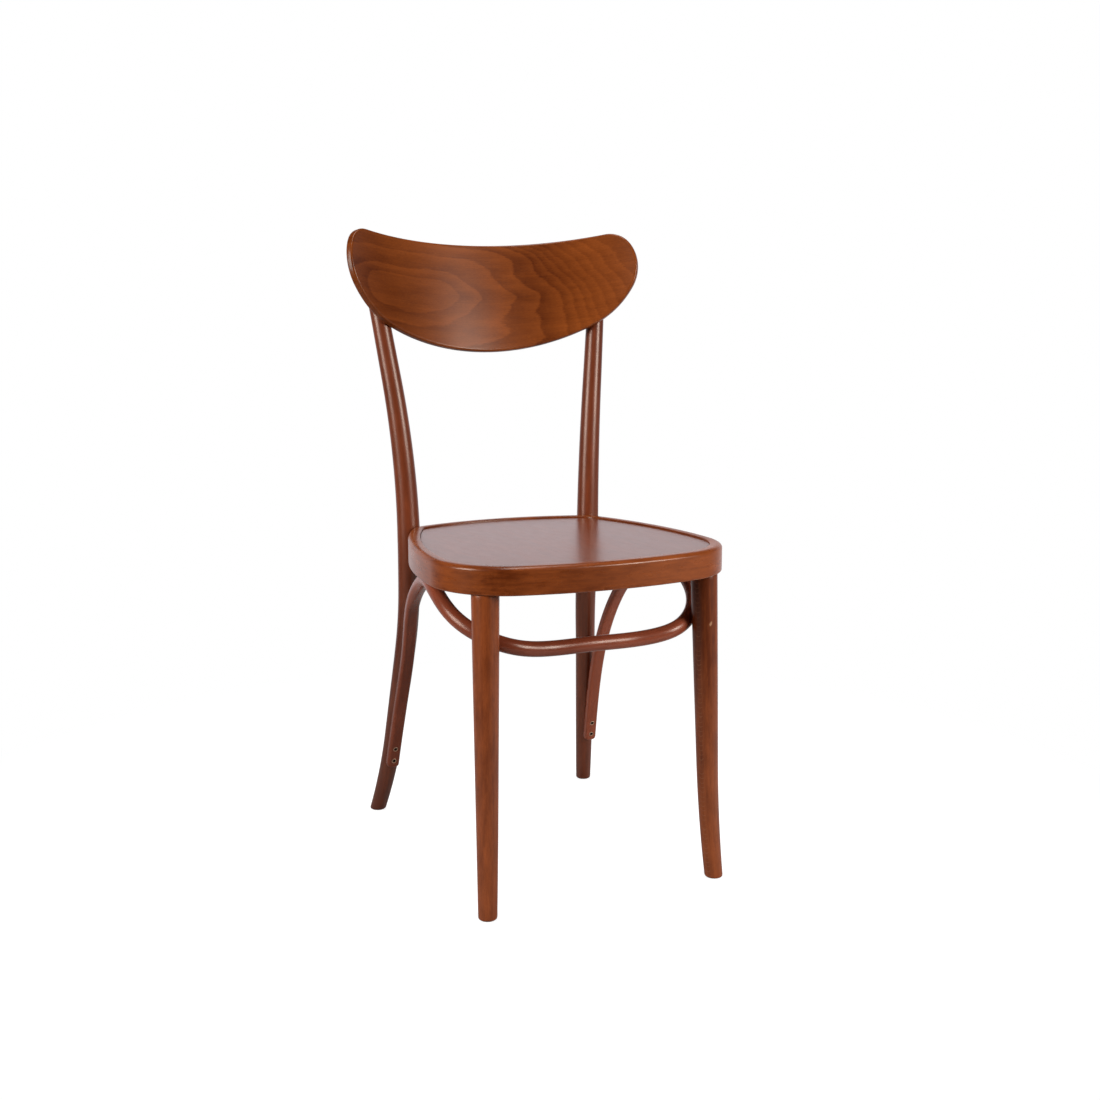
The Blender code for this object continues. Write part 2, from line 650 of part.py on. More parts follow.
def build():
    clear_scene()
    wood = {
        "ring": finish("ring_wood", (0.155, 0.050, 0.020), 0.34),
        "panel": finish("panel_veneer", (0.145, 0.048, 0.024), 0.30),
        "front": finish("front_leg_wood", (0.150, 0.050, 0.022), 0.36),
        "rear": finish("rear_leg_wood", (0.140, 0.044, 0.020), 0.36),
        "back": finish("backrest_veneer", (0.165, 0.055, 0.020), 0.32),
        "brace": finish("brace_wood", (0.135, 0.042, 0.020), 0.35),
    }
    steel = finish("screw_steel", (0.62, 0.55, 0.44), 0.35, 1.0)
    zinc = finish("bolt_steel", (0.58, 0.58, 0.57), 0.32, 1.0)

    # Seat ring: one section carried round the outline
    rim = RIM_WIDTH - RIM_CREST
    floor = SEAT_HEIGHT - PANEL_RECESS - PANEL_THICKNESS - GAP
    section = []
    for i in range(3):
        a = math.radians(45.0 * i)
        section.append((RING_EDGE * (1.0 - math.sin(a)), RING_BOTTOM + RING_EDGE * (1.0 - math.cos(a))))
    for i in range(7):
        a = math.radians(15.0 * i)
        section.append((rim * (1.0 - math.cos(a)), SEAT_HEIGHT - RIM_DROP * (1.0 - math.sin(a))))
    section += [(RIM_WIDTH - 0.0008, SEAT_HEIGHT - 0.0002), (RIM_WIDTH, SEAT_HEIGHT - 0.0010)]
    section += [(RIM_WIDTH, floor), (RING_WIDTH, floor)]
    section += [(RING_WIDTH, RING_BOTTOM + 0.001), (RING_WIDTH - 0.001, RING_BOTTOM)]
    bm = bmesh.new()
    loops = [[(x, y, z) for x, y in outline(offset)] for offset, z in section]
    skin(bm, loops, closed=True)
    ring = add("seat_ring", bm, wood["ring"], 30.0)

    # Seat panel: flat board in the rebate
    bm = bmesh.new()
    inset = RIM_WIDTH + GAP
    top = SEAT_HEIGHT - PANEL_RECESS
    rows = [(inset, top - PANEL_THICKNESS), (inset, top - PANEL_EDGE), (inset + PANEL_EDGE, top)]
    skin(bm, [[(x, y, z) for x, y in outline(offset)] for offset, z in rows])
    add("seat_panel", bm, wood["panel"], 30.0)

    # Space that the ring fills, with its clearance, which the rear legs are notched for
    bm = bmesh.new()
    skin(bm, [[(x, y, z) for x, y in outline(-GAP)] for z in (RING_BOTTOM - GAP, SEAT_HEIGHT + GAP)])
    ring_space = add("ring_space", bm)

    # Backrest shell and the space it needs
    bm = bmesh.new()
    shell(bm, BACK_EDGE)
    backrest = add("backrest", bm, wood["back"], 50.0)
    bm = bmesh.new()
    shell(bm, 0.0, GAP)
    shell_space = add("shell_space", bm)

    # Brace hoop: half is swept and mirrored at the front centre
    bm = bmesh.new()
    skin(bm, brace_rings())
    middle = [f for f in bm.faces if len(f.verts) == ROD_SIDES and abs(f.calc_center_median().x) < 1e-6]
    bmesh.ops.delete(bm, geom=middle, context="FACES_ONLY")
    brace = add("brace_hoop", bm, wood["brace"], 40.0)
    mirror = brace.modifiers.new("other half", "MIRROR")
    mirror.merge_threshold = 0.00005
    bm = bmesh.new()
    bmesh.ops.create_cube(bm, size=1.0)
    bmesh.ops.scale(bm, verts=bm.verts, vec=(0.5, 0.2, 0.02))
    bmesh.ops.translate(bm, verts=bm.verts, vec=(0.0, ARCH_TOP_Y, RING_BOTTOM - GAP + 0.01))
    cut(brace, add("arch_flat", bm))

    for side, word in ((1, "left"), (-1, "right")):
        # The chair's own left is at +X
        # Front leg with its tenon
        bm = bmesh.new()
        shoulder = RING_BOTTOM - GAP
        heights = rounded(0.0, FOOT_EDGE, 1) + even(FOOT_EDGE, shoulder - 0.001, LEG_STEP)
        heights += rounded(shoulder, 0.001, -1, 1)
        rings = leg_rings(front_leg_axis, front_leg_radius, side, heights)
        x, y = front_leg_axis(shoulder)
        turns = [2.0 * math.pi * (i + 0.5) / LEG_SIDES for i in range(LEG_SIDES)]
        for narrower, up in ((0.0, 0.0), (0.0, TENON_LENGTH - 0.001), (0.001, TENON_LENGTH)):
            r = TENON_RADIUS - narrower
            z = shoulder + up
            rings.append([Vector((side * (x + r * math.cos(a)), y + r * math.sin(a), z)) for a in turns])
        skin(bm, rings)
        front = add("front_leg_" + word, bm, wood["front"], 40.0)
        bm = bmesh.new()
        mouth = Vector((side * x, y, RING_BOTTOM))
        r = TENON_RADIUS + GAP
        lathe(bm, mouth, UP, [(r, -0.01), (r, TENON_LENGTH + GAP)], LEG_SIDES)
        cut(ring, add("tenon_hole_" + word, bm))

        # Rear leg and post
        bm = bmesh.new()
        heights = rounded(0.0, FOOT_EDGE, 1) + even(FOOT_EDGE, POST_TOP_Z - POST_ROUNDING, LEG_STEP)
        heights += rounded(POST_TOP_Z, POST_ROUNDING, -1)
        skin(bm, leg_rings(rear_leg_axis, rear_leg_radius, side, heights))
        rear = add("rear_leg_" + word, bm, wood["rear"], 40.0)
        bm = bmesh.new()
        rings = brace_rings(GAP, STRAP_SEAT_Z)
        down = (rings[0][0] - rings[1][0]).normalized() * GAP
        rings[0] = [p + down for p in rings[0]]
        skin(bm, [[mirrored(p, side) for p in section] for section in rings])
        cut(rear, ring_space, shell_space, add("strap_space_" + word, bm))

        # Strap screws, seen on the strap's front
        for z, level in zip(STRAP_SCREW_Z, ("lower", "upper")):
            point, back = strap_point(z)
            point = mirrored(point - back * (STRAP_THICKNESS / 2.0), side)
            name = "strap_screw_%s_%s" % (level, word)
            drive(name, point, mirrored(back, side), STRAP_SCREW_LENGTH, steel, (brace, rear))

        # Screw from inside the hoop into the front leg
        toward = mirrored(-touch_direction(), side)
        point = mirrored(front_touch(), side) - toward * (ROD_RADIUS - SCREW_SUNK)
        drive("brace_front_screw_" + word, point, toward, FRONT_SCREW_LENGTH, steel, (brace, front))

        # Screw up through the arch into the ring
        axis = RING_BOTTOM - GAP - ROD_RADIUS + ARCH_FLAT
        x = edge_at_y(ARCH_TOP_Y) - ARCH_INSET
        point = Vector((side * x, ARCH_TOP_Y, axis - ROD_RADIUS + SCREW_SUNK))
        drive("brace_arch_screw_" + word, point, UP, ARCH_SCREW_LENGTH, steel, (brace, ring))

        # Bolt and washer from inside the ring into the rear leg
        x, y = outline_point(REAR_LEG_HEADING)
        nx, ny = inward(REAR_LEG_HEADING)
        seat = RING_WIDTH - SPOT_FACE_DEPTH
        face = Vector((side * (x + nx * seat), y + ny * seat, RING_BOTTOM + BOLT_Z))
        out = Vector((side * -nx, -ny, 0.0))
        bm = bmesh.new()
        r = BOLT_SHANK + GAP
        rows = [(SPOT_FACE_RADIUS, -0.02), (SPOT_FACE_RADIUS, 0.0), (r, 0.0), (r, BOLT_LENGTH + 0.001)]
        lathe(bm, face, out, rows, LEG_SIDES)
        hole = add("bolt_hole_" + word, bm)
        cut(ring, hole)
        cut(rear, hole)
        bm = bmesh.new()
        under = -GAP - WASHER_THICKNESS - GAP
        rows = [
            (BOLT_HEAD * 0.9, under - BOLT_HEAD_HEIGHT),
            (BOLT_HEAD, under - BOLT_HEAD_HEIGHT + 0.0006),
            (BOLT_HEAD, under),
            (BOLT_SHANK, under),
            (BOLT_SHANK, BOLT_LENGTH - 0.001),
            (BOLT_SHANK - 0.001, BOLT_LENGTH),
        ]
        lathe(bm, face, out, rows, FIT_SIDES, hexagons=(1, 2))
        add("seat_bolt_" + word, bm, zinc, 30.0)
        bm = bmesh.new()
        far = -GAP - WASHER_THICKNESS
        across = out.cross(UP)
        rings = []
        for radius, depth in ((r, -GAP), (WASHER_RADIUS, -GAP), (WASHER_RADIUS, far), (r, far)):
            place = face + out * depth
            turns = [2.0 * math.pi * i / LEG_SIDES for i in range(LEG_SIDES)]
            rings.append([place + (across * math.cos(a) + UP * math.sin(a)) * radius for a in turns])
        skin(bm, rings, closed=True)
        add("seat_bolt_washer_" + word, bm, zinc, 30.0)

        # Backrest screws from behind through the post
        for (head, into, length), level in zip(back_screw_places(), ("lower", "upper")):
            point = mirrored(head + into * SCREW_SUNK, side)
            name = "backrest_screw_%s_%s" % (level, word)
            drive(name, point, mirrored(into, side), length, steel, (rear, backrest))


build()
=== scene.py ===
"""Looks of a cafe chair in stained beech: ring seat, bent brace hoop, curved veneered backrest.

Metres, +Z up. The chair faces -Y and stands on z = 0, and its own left is at +X. The wooden
pieces follow their solids with finer facets, and each takes its solid's place.
"""

from functools import partialmethod
from math import asin, atan2, ceil, copysign, cos, pi, radians, sin, sqrt

import bmesh
import bpy
import numpy as np
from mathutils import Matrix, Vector


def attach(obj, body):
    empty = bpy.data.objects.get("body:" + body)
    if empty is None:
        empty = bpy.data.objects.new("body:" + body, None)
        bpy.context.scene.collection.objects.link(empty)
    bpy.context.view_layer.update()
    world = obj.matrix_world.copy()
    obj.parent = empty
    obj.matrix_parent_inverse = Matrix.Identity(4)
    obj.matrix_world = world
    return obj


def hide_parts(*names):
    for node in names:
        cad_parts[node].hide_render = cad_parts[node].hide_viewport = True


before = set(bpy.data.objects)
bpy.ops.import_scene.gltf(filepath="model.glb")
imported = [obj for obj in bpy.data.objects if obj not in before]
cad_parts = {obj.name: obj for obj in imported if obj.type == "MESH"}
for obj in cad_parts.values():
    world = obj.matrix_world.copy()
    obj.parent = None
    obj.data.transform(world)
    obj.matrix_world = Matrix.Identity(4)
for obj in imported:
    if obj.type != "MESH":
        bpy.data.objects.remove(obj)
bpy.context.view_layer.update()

# The clearance of every joint, and the height that sets the scale
GAP = 0.0003
SEAT_HEIGHT = 0.46

# Seat ring: tangent arcs from the front centre round to the back centre
RING_FRONT_Y = -0.2425
FRONT_RADIUS = 0.578
FRONT_ARC = 12.5
CORNER_RADIUS = 0.1054
SIDE_RADIUS = 0.559
SIDE_ARC = 25.5
REAR_CORNER_RADIUS = 0.045
REAR_CORNER_ARC = 44.9
BACK_ARC = 19.5
RING_DEPTH = 0.0367
RING_WIDTH = 0.032
RIM_WIDTH = 0.017
RIM_CREST = 0.009
RIM_DROP = 0.0055
RING_EDGE = 0.002
RING_BOTTOM = SEAT_HEIGHT - RING_DEPTH
RIM_ARRIS = ((0.0012, 0.0001), (0.0005, 0.0003), (0.0001, 0.0007), (0, 0.0012))
RING_INNER_EDGE = ((0, 0.001), (0.0003, 0.0003), (0.001, 0))

# Seat panel
PANEL_RECESS = 0.0023
PANEL_THICKNESS = 0.006
PANEL_EDGE = 0.0006

# Front legs
FRONT_LEG_HEADING = 40.4
FRONT_LEG_INSET = 0.001
FRONT_LEG_TOP = 0.0181
FRONT_LEG_FOOT = 0.0124
FRONT_LEG_SWELL = 0.85
FRONT_SPLAY_X = 0.016
FRONT_SPLAY_Y = 0.0427
FRONT_FLARE_Z = 0.16
FRONT_FLARE_X = 4.1
FRONT_FLARE_Y = 1.78

# Rear legs, which run on up as the posts of the back
REAR_LEG_HEADING = 146.8
REAR_LEG_SEAT = 0.0168
REAR_LEG_FOOT = 0.0116
REAR_LEG_TOP = 0.0124
REAR_LEG_SWELL = 0.75
REAR_NOTCH = 0.0006
LEG_SWELL_Z = 0.44
REAR_BEND_Z = 0.36
REAR_BEND_X = 1
REAR_LEAN_X = 0.085
REAR_RAKE_Z = 0.45
REAR_RAKE_Y = 1.1
REAR_LEAN_Y = 0.2
REAR_FLARE_Z = 0.13
REAR_FLARE_X = 1.48
REAR_FLARE_Y = 0.69
POST_SPREAD_Z = 0.42
POST_SPREAD = 2
POST_SLOPE_X = 0.125
POST_LEAN_Z = 0.43
POST_LEAN = 1.6
POST_SLOPE_Y = 0.16
POST_TOP_BEND = 0.8
POST_ROUNDING = 0.007
FOOT_EDGE = 0.003
SHOULDER_EDGE = 0.001

# Backrest shell
BACK_RADIUS = 0.345
BACK_LEAN = 16.7
BACK_THICKNESS = 0.0106
BACK_EDGE = 0.0032
BACK_TOP_Z = 0.868
BACK_TOP_RADIUS = 8.2
BACK_HALF_SPAN = 0.1995
BACK_HORN_RADIUS = 0.04094
BACK_HORN_ARC = 65.6
BACK_SIDE_RADIUS = 0.0626
BACK_SIDE_ARC = 61.8
BACK_UNDER_RADIUS = 0.142
BACK_UNDER_ARC = 33.4
BACK_BITE = 0.0011
BACK_SEAT_Z = BACK_TOP_Z - 0.1032
POST_BEND_Z = BACK_TOP_Z - 0.1282
POST_TOP_Z = BACK_TOP_Z - 0.0302

# Brace hoop
ROD_RADIUS = 0.01035
STRAP_WIDTH = 0.0188
STRAP_THICKNESS = 0.013
STRAP_CORNER = 0.0042
STRAP_BITE = 0.0021
STRAP_FOOT_Z = 0.083
STRAP_OUT = 0.0012
STRAP_RISE = ((0.184, 0.0253, 0.0049), (0.2855, 0.047, 0.012), (0.357, 0.0815, 0.0218))
STRAP_FULL_Z = 0.345
STRAP_ROUND_Z = 0.398
STRAP_SEAT_Z = 0.22
STRAP_END_ROUNDING = 0.0042
STRAP_END_ARRIS = 0.0012
STRAP_END_EASE = 0.09
ARCH_TOP_Y = -0.0446
ARCH_INSET = 0.0205
ARCH_FLAT = 0.0008
ARCH_REAR_Y = 0.0084
ARCH_REAR_DROP = 0.0223
ARCH_REAR_IN = 0.0075
ARCH_FRONT_Y = -0.129
ARCH_FRONT_DROP = 0.0415
ARCH_FRONT_IN = 0.0035
FRONT_TOUCH_Z = 0.357
FRONT_TOUCH_ANGLE = 57
BAR_Z = 0.339
BAR_Y = -0.1785
BAR_SPREAD = 0.067
BAR_CORNER_X = 0.124
BAR_CORNER_RISE = 0.0105
BAR_CORNER_FORWARD = 0.0025

# Fasteners
SCREW_SHANK = 0.002
SCREW_HEAD = 0.0037
SCREW_CONE = 0.0026
SCREW_RIM = 0.0005
SCREW_SUNK = 0.0006
SOCKET_RADIUS = 0.0021
SOCKET_DEPTH = 0.002
SOCKET_TURN = 0.7
SCREW_POINT = 0.004
SCREW_TIP = 0.0004
STRAP_SCREW_Z = (0.0935, 0.1135)
STRAP_SCREW_LENGTH = 0.028
FRONT_SCREW_LENGTH = 0.034
ARCH_SCREW_LENGTH = 0.038
BACK_SCREW_Z = (BACK_TOP_Z - 0.1042, BACK_TOP_Z - 0.0562)
BACK_SCREW_BITE = 0.0065
BOLT_SHANK = 0.003
BOLT_HEAD = 0.00577
BOLT_HEAD_HEIGHT = 0.004
BOLT_CROWN = ((0.86, 0), (0.97, 0.0004), (1, 0.0009))
BOLT_POINT = 0.001
BOLT_LENGTH = 0.048
BOLT_Z = 0.013
WASHER_RADIUS = 0.008
WASHER_THICKNESS = 0.0015
SPOT_FACE_RADIUS = 0.0092
SPOT_FACE_DEPTH = 0.002
DRILL_SPARE = 0.001
SCREW_ROOM = 0.006
SPOT_FACE_ROOM = 0.02
ARCH_CUTTER = (0.5, 0.2, 0.02)

# Fineness of the facets
LEG_SIDES = 56
LEG_STEP = 0.005
SLOPE_STEP = 0.001
ROD_QUARTER = 10
ROD_STEP = 0.004
FIT_SIDES = 32
DEGREES_APART = 1.2
SMOOTH_ANGLE = 35
METAL_ANGLE = 30

# The backrest veneer's figure, across the shell (s) and up it (t): the ovals' centre, the reach
# of the tone ramp, and the right tips of the bands with their depth of tone
OVAL_S = -0.128
OVAL_T = -0.081
OVAL_REACH = 0.4
OVAL_TIPS = (
    (-0.044, 0.17), (-0.011, 0.2), (0.043, 0.19), (0.081, 0.2), (0.115, 0.18), (0.133, 0.14),
    (0.149, 0.13), (0.163, 0.12), (0.181, 0.11), (0.199, 0.12), (0.219, 0.12), (0.24, 0.1),
)

# How far along its blank each leg's figure starts, so that no two legs look the same
FRONT_BLANK_SHIFT = 0.7
REAR_BLANK_SHIFT = 1.9

# A scuff on the left front leg
SCUFF = (0.1588, -0.2127, 0.3584)

UP = Vector((0, 0, 1))
SIDES = ((1, "left"), (-1, "right"))
MIRROR_X = ((-1, 0, 0, 0), (0, 1, 0, 0), (0, 0, 1, 0), (0, 0, 0, 1))
WHITE = (1, 1, 1, 1)


# Nodes: one method adds them all, and values take part in plain arithmetic

class Wire:
    """A node's output; arithmetic on it adds Math nodes."""

    def __init__(self, graph, socket):
        self.graph = graph
        self.socket = socket

    def math(self, operation, *others, flip=False):
        values = [self, *others]
        if flip:
            values.reverse()
        return self.graph.make("ShaderNodeMath", dict(enumerate(values)), operation=operation)

    __add__ = __radd__ = partialmethod(math, "ADD")
    __mul__ = __rmul__ = partialmethod(math, "MULTIPLY")
    __sub__ = partialmethod(math, "SUBTRACT")
    __rsub__ = partialmethod(math, "SUBTRACT", flip=True)
    __truediv__ = partialmethod(math, "DIVIDE")
    __rtruediv__ = partialmethod(math, "DIVIDE", flip=True)
    __pow__ = partialmethod(math, "POWER")

    def vector(self, operation, *others):
        values = dict(enumerate([self, *others]))
        out = "Value" if operation in ("LENGTH", "DOT_PRODUCT") else "Vector"
        return self.graph.make("ShaderNodeVectorMath", values, out, operation=operation)

    def scaled(self, factor):
        values = {"Vector": self, "Scale": factor}
        return self.graph.make("ShaderNodeVectorMath", values, operation="SCALE")

    def mottle(self, spots, detail=2, roughness=0.5):
        """Noise with so many spots in a metre along each axis."""
        return self.graph.noise(self.vector("MULTIPLY", spots), 1, detail, roughness)

    def between(self, low, high, start=0, end=1):
        """Smooth step: start below low, end above high."""
        ends = {"Value": self, "From Min": low, "From Max": high, "To Min": start, "To Max": end}
        return self.graph.make("ShaderNodeMapRange", ends, interpolation_type="SMOOTHSTEP")


class Graph:
    """A node tree that is being built."""

    def __init__(self, tree):
        self.tree = tree

    def make(self, kind, sockets=None, out=0, **settings):
        """A node of this type with its settings, then the values or links of its sockets."""
        node = self.tree.nodes.new(kind)
        for key, value in settings.items():
            if key == "stops":
                self.set_stops(node.color_ramp, value)
            else:
                setattr(node, key, value)
        self.fill(node, sockets or {})
        return Wire(self, node.outputs[out]) if len(node.outputs) else node

    def fill(self, node, sockets):
        for key, value in sockets.items():
            if isinstance(value, Wire):
                self.tree.links.new(value.socket, node.inputs[key])
            else:
                node.inputs[key].default_value = value

    @staticmethod
    def set_stops(ramp, stops):
        while len(ramp.elements) < len(stops):
            ramp.elements.new(0.5)
        for element, (position, color) in zip(ramp.elements, stops):
            element.position = position
            element.color = color

    def mix(self, factor, a, b):
        """Colour mix."""
        return self.make("ShaderNodeMix", {0: factor, 6: a, 7: b}, 2, data_type="RGBA")

    def noise(self, place, scale, detail=2, roughness=0.5, out=0):
        sockets = {"Vector": place, "Scale": scale, "Detail": detail, "Roughness": roughness}
        return self.make("ShaderNodeTexNoise", sockets, out)

    def split(self, vector):
        node = self.make("ShaderNodeSeparateXYZ", {0: vector}).socket.node
        return [Wire(self, socket) for socket in node.outputs]

    def join(self, x, y, z):
        return self.make("ShaderNodeCombineXYZ", {0: x, 1: y, 2: z})

    def place(self):
        return self.make("ShaderNodeTexCoord", out="Object")

    def stored(self, layer, kind="FLOAT_VECTOR"):
        return self.make("GeometryNodeInputNamedAttribute", {"Name": layer}, data_type=kind)

    def shape_of(self, source):
        return self.make("GeometryNodeObjectInfo", {"Object": source}, "Geometry")


# Objects and meshes

def put(name, mesh):
    obj = bpy.data.objects.new(name, mesh)
    bpy.context.scene.collection.objects.link(obj)
    return obj


def line(name, points, closed, **layers):
    """Edges through points, with named values on the points."""
    mesh = bpy.data.meshes.new(name)
    edges = [(i, i + 1) for i in range(len(points) - 1)]
    if closed:
        edges.append((len(points) - 1, 0))
    mesh.from_pydata([tuple(p) for p in points], edges, [])
    for layer, values in layers.items():
        values = np.array(values, np.float32)
        kind, key = ("FLOAT_VECTOR", "vector") if values.ndim == 2 else ("FLOAT", "value")
        mesh.attributes.new(layer, kind, "POINT").data.foreach_set(key, values.ravel())
    return put(name, mesh)


def face_outward(bm):
    bmesh.ops.recalc_face_normals(bm, faces=bm.faces)
    if bm.calc_volume(signed=True) < 0:
        bmesh.ops.reverse_faces(bm, faces=bm.faces)


def from_bmesh(name, bm):
    face_outward(bm)
    mesh = bpy.data.meshes.new(name)
    bm.to_mesh(mesh)
    bm.free()
    return put(name, mesh)


def smooth(mesh, angle=SMOOTH_ANGLE):
    mesh.shade_smooth()
    mesh.set_sharp_from_angle(angle=radians(angle))


def settle(obj, angle=SMOOTH_ANGLE):
    """Works the modifiers into a plain closed mesh with its faces outward."""
    graph = bpy.context.evaluated_depsgraph_get()
    mesh = bpy.data.meshes.new_from_object(obj.evaluated_get(graph))
    obj.modifiers.clear()
    obj.data = mesh
    bm = bmesh.new()
    bm.from_mesh(mesh)
    bmesh.ops.remove_doubles(bm, verts=bm.verts, dist=1e-6)
    face_outward(bm)
    bm.to_mesh(mesh)
    bm.free()
    smooth(mesh, angle)
    return obj


def cut(obj, *cutters):
    for cutter in cutters:
        mod = obj.modifiers.new("cut " + cutter.name, "BOOLEAN")
        mod.operation = "DIFFERENCE"
        mod.object = cutter
    return settle(obj)


def clear(*objects):
    for obj in objects:
        bpy.data.objects.remove(obj)


def skin(bm, rings, closed=False, wear=None):
    """Closed body through the rings; wear holds one value for each ring, low for dirt and painted
    shade, high for wear and a painted glint.
    """
    layer = bm.verts.layers.float.get("wear") or bm.verts.layers.float.new("wear")
    loops = [[bm.verts.new(p) for p in ring] for ring in rings]
    for loop, value in zip(loops, wear or ()):
        for v in loop:
            v[layer] = value
    count = len(loops[0])
    pairs = list(zip(loops, loops[1:]))
    if closed:
        pairs.append((loops[-1], loops[0]))
    for low, high in pairs:
        for i in range(count):
            j = (i + 1) % count
            bm.faces.new((low[i], low[j], high[j], high[i]))
    if not closed:
        bm.faces.new(loops[0])
        bm.faces.new(loops[-1])


def circle(sides, start=0):
    return [2 * pi * (i + start) / sides for i in range(sides)]


def lathe(bm, point, direction, profile, sides=FIT_SIDES, hexagons=(), wear=None):
    """Rings of the given radii and depths along a direction; listed ones are hexagons."""
    axis = Vector(direction).normalized()
    side = axis.orthogonal().normalized()
    other = axis.cross(side)
    rings = []
    for index, (radius, depth) in enumerate(profile):
        ring = []
        for angle in circle(sides):
            r = radius
            if index in hexagons:
                r *= cos(pi / 6) / cos(angle % (pi / 3) - pi / 6)
            out = side * cos(angle) + other * sin(angle)
            ring.append(Vector(point) + axis * depth + out * r)
        rings.append(ring)
    skin(bm, rings, wear=wear)


def turned(name, *shape):
    bm = bmesh.new()
    lathe(bm, *shape)
    return from_bmesh(name, bm)


# Geometry Nodes: a section carried along a path, and a fastener set on each mark

def new_tree(name, **inputs):
    """An empty tree with these inputs; gives its graph and a wire for each input."""
    tree = bpy.data.node_groups.new(name, "GeometryNodeTree")
    for label, kind in inputs.items():
        tree.interface.new_socket(label, in_out="INPUT", socket_type="NodeSocket" + kind)
    tree.interface.new_socket("Piece", in_out="OUTPUT", socket_type="NodeSocketGeometry")
    given = tree.nodes.new("NodeGroupInput")
    g = Graph(tree)
    return g, [Wire(g, given.outputs[label]) for label in inputs]


def end_tree(g, shape, finish):
    whole = g.make("GeometryNodeRealizeInstances", {"Geometry": shape})
    done = g.make("GeometryNodeSetMaterial", {"Geometry": whole, "Material": finish})
    g.make("NodeGroupOutput", {0: done})
    return g.tree


def carrying_tree():
    """Sweeps a section along a path by the values stored on both; notes the place in the blank."""
    g, (path, section, ends, shift, finish) = new_tree(
        "Section carried along a path",
        Path="Object", Section="Object", Ends="Bool", Shift="Float", Finish="Material",
    )
    shapes = [{"Mesh": g.shape_of(source)} for source in (path, section)]
    spine, profile = [g.make("GeometryNodeMeshToCurve", shape) for shape in shapes]
    sockets = {"Curve": spine, "Profile Curve": profile, "Fill Caps": ends}
    swept = g.make("GeometryNodeCurveToMesh", sockets)
    pressed = g.stored("pressed", "FLOAT")
    flat_shape = g.stored("flat_shape").scaled(pressed)
    shape = g.stored("shape").scaled(1 - pressed).vector("ADD", flat_shape)
    wide, deep, _ = g.split(shape.scaled(g.stored("size", "FLOAT")))
    wide = wide * g.stored("taper", "FLOAT")
    place = g.stored("across").scaled(wide).vector("ADD", g.stored("upward").scaled(deep))
    place = place.vector("ADD", g.stored("centre"))
    moved = g.make("GeometryNodeSetPosition", {"Geometry": swept, "Position": place})
    blank = g.join(wide, deep, g.stored("along", "FLOAT") + shift)
    sockets = {"Geometry": moved, "Name": "grain", "Value": blank}
    noted = g.make("GeometryNodeStoreNamedAttribute", sockets, data_type="FLOAT_VECTOR")
    return end_tree(g, noted, finish)


def setting_tree():
    g, (marks, fastener, turn, finish) = new_tree(
        "Fastener on each mark", Marks="Object", Fastener="Object", Turn="Float", Finish="Material"
    )
    number = g.make("GeometryNodeInputIndex")
    start = g.make("FunctionNodeEulerToRotation", {0: g.join(0, 0, number * turn)})
    sockets = {"Rotation": start, "Vector": g.stored("way")}
    aimed = g.make("FunctionNodeAlignRotationToVector", sockets, axis="Z")
    sockets = {"Points": g.shape_of(marks), "Instance": g.shape_of(fastener), "Rotation": aimed}
    return end_tree(g, g.make("GeometryNodeInstanceOnPoints", sockets), finish)


def grow(name, tree, angle, *used, **inputs):
    """The plain mesh that a tree makes from its inputs, after which the used ones go."""
    obj = put(name, bpy.data.meshes.new(name))
    mod = obj.modifiers.new("tree", "NODES")
    mod.node_group = tree
    for item in tree.interface.items_tree:
        if item.name in inputs:
            mod[item.identifier] = inputs[item.name]
    settle(obj, angle)
    clear(*used)
    return obj


def carry(name, tree, path, section, finish, shift=0.0, ends=True):
    inputs = {"Path": path, "Section": section, "Ends": ends, "Shift": shift, "Finish": finish}
    return grow(name, tree, SMOOTH_ANGLE, path, **inputs)


def set_fasteners(name, tree, shape, places, finish):
    """One mesh of equal fasteners; places hold (point, direction)."""
    marks = line(name + "_marks", [p for p, _ in places], False, way=[tuple(d) for _, d in places])
    inputs = {"Marks": marks, "Fastener": shape, "Turn": SOCKET_TURN, "Finish": finish}
    return grow(name, tree, METAL_ANGLE, marks, shape, **inputs)


def path_line(name, centres, across, upward, along, closed=False, **values):
    """Path with its frame; size, taper and pressed are 1, 1 and 0 where they aren't given."""
    count = len(centres)
    layers = {"size": np.ones(count), "taper": np.ones(count), "pressed": np.zeros(count)}
    layers.update(values)
    return line(
        name, centres, closed, centre=centres, across=across, upward=upward, along=along, **layers
    )


def section_line(name, shape, flat_shape=None):
    shape = [(w, d, 0) for w, d in shape]
    flat_shape = [(w, d, 0) for w, d in flat_shape] if flat_shape else shape
    return line(name, shape, True, shape=shape, flat_shape=flat_shape)


# Plain maths

def run_out(distance, radius, slope=1):
    """Offset of a line that bends away at a radius until it has this slope."""
    if distance <= 0:
        return 0
    bend = radius * slope
    if distance < bend:
        return distance ** 2 / (2 * radius)
    return bend * slope / 2 + (distance - bend) * slope


def quarter(steps):
    """Shares of an edge's radius, in from one face and in from the other, round a quarter turn."""
    turns = [radians(90 * i / steps) for i in range(steps + 1)]
    return [(1 - cos(a), 1 - sin(a)) for a in turns]


def smooth_step(value, low, high):
    x = min(1, max(0, (value - low) / (high - low)))
    return x * x * (3 - 2 * x)


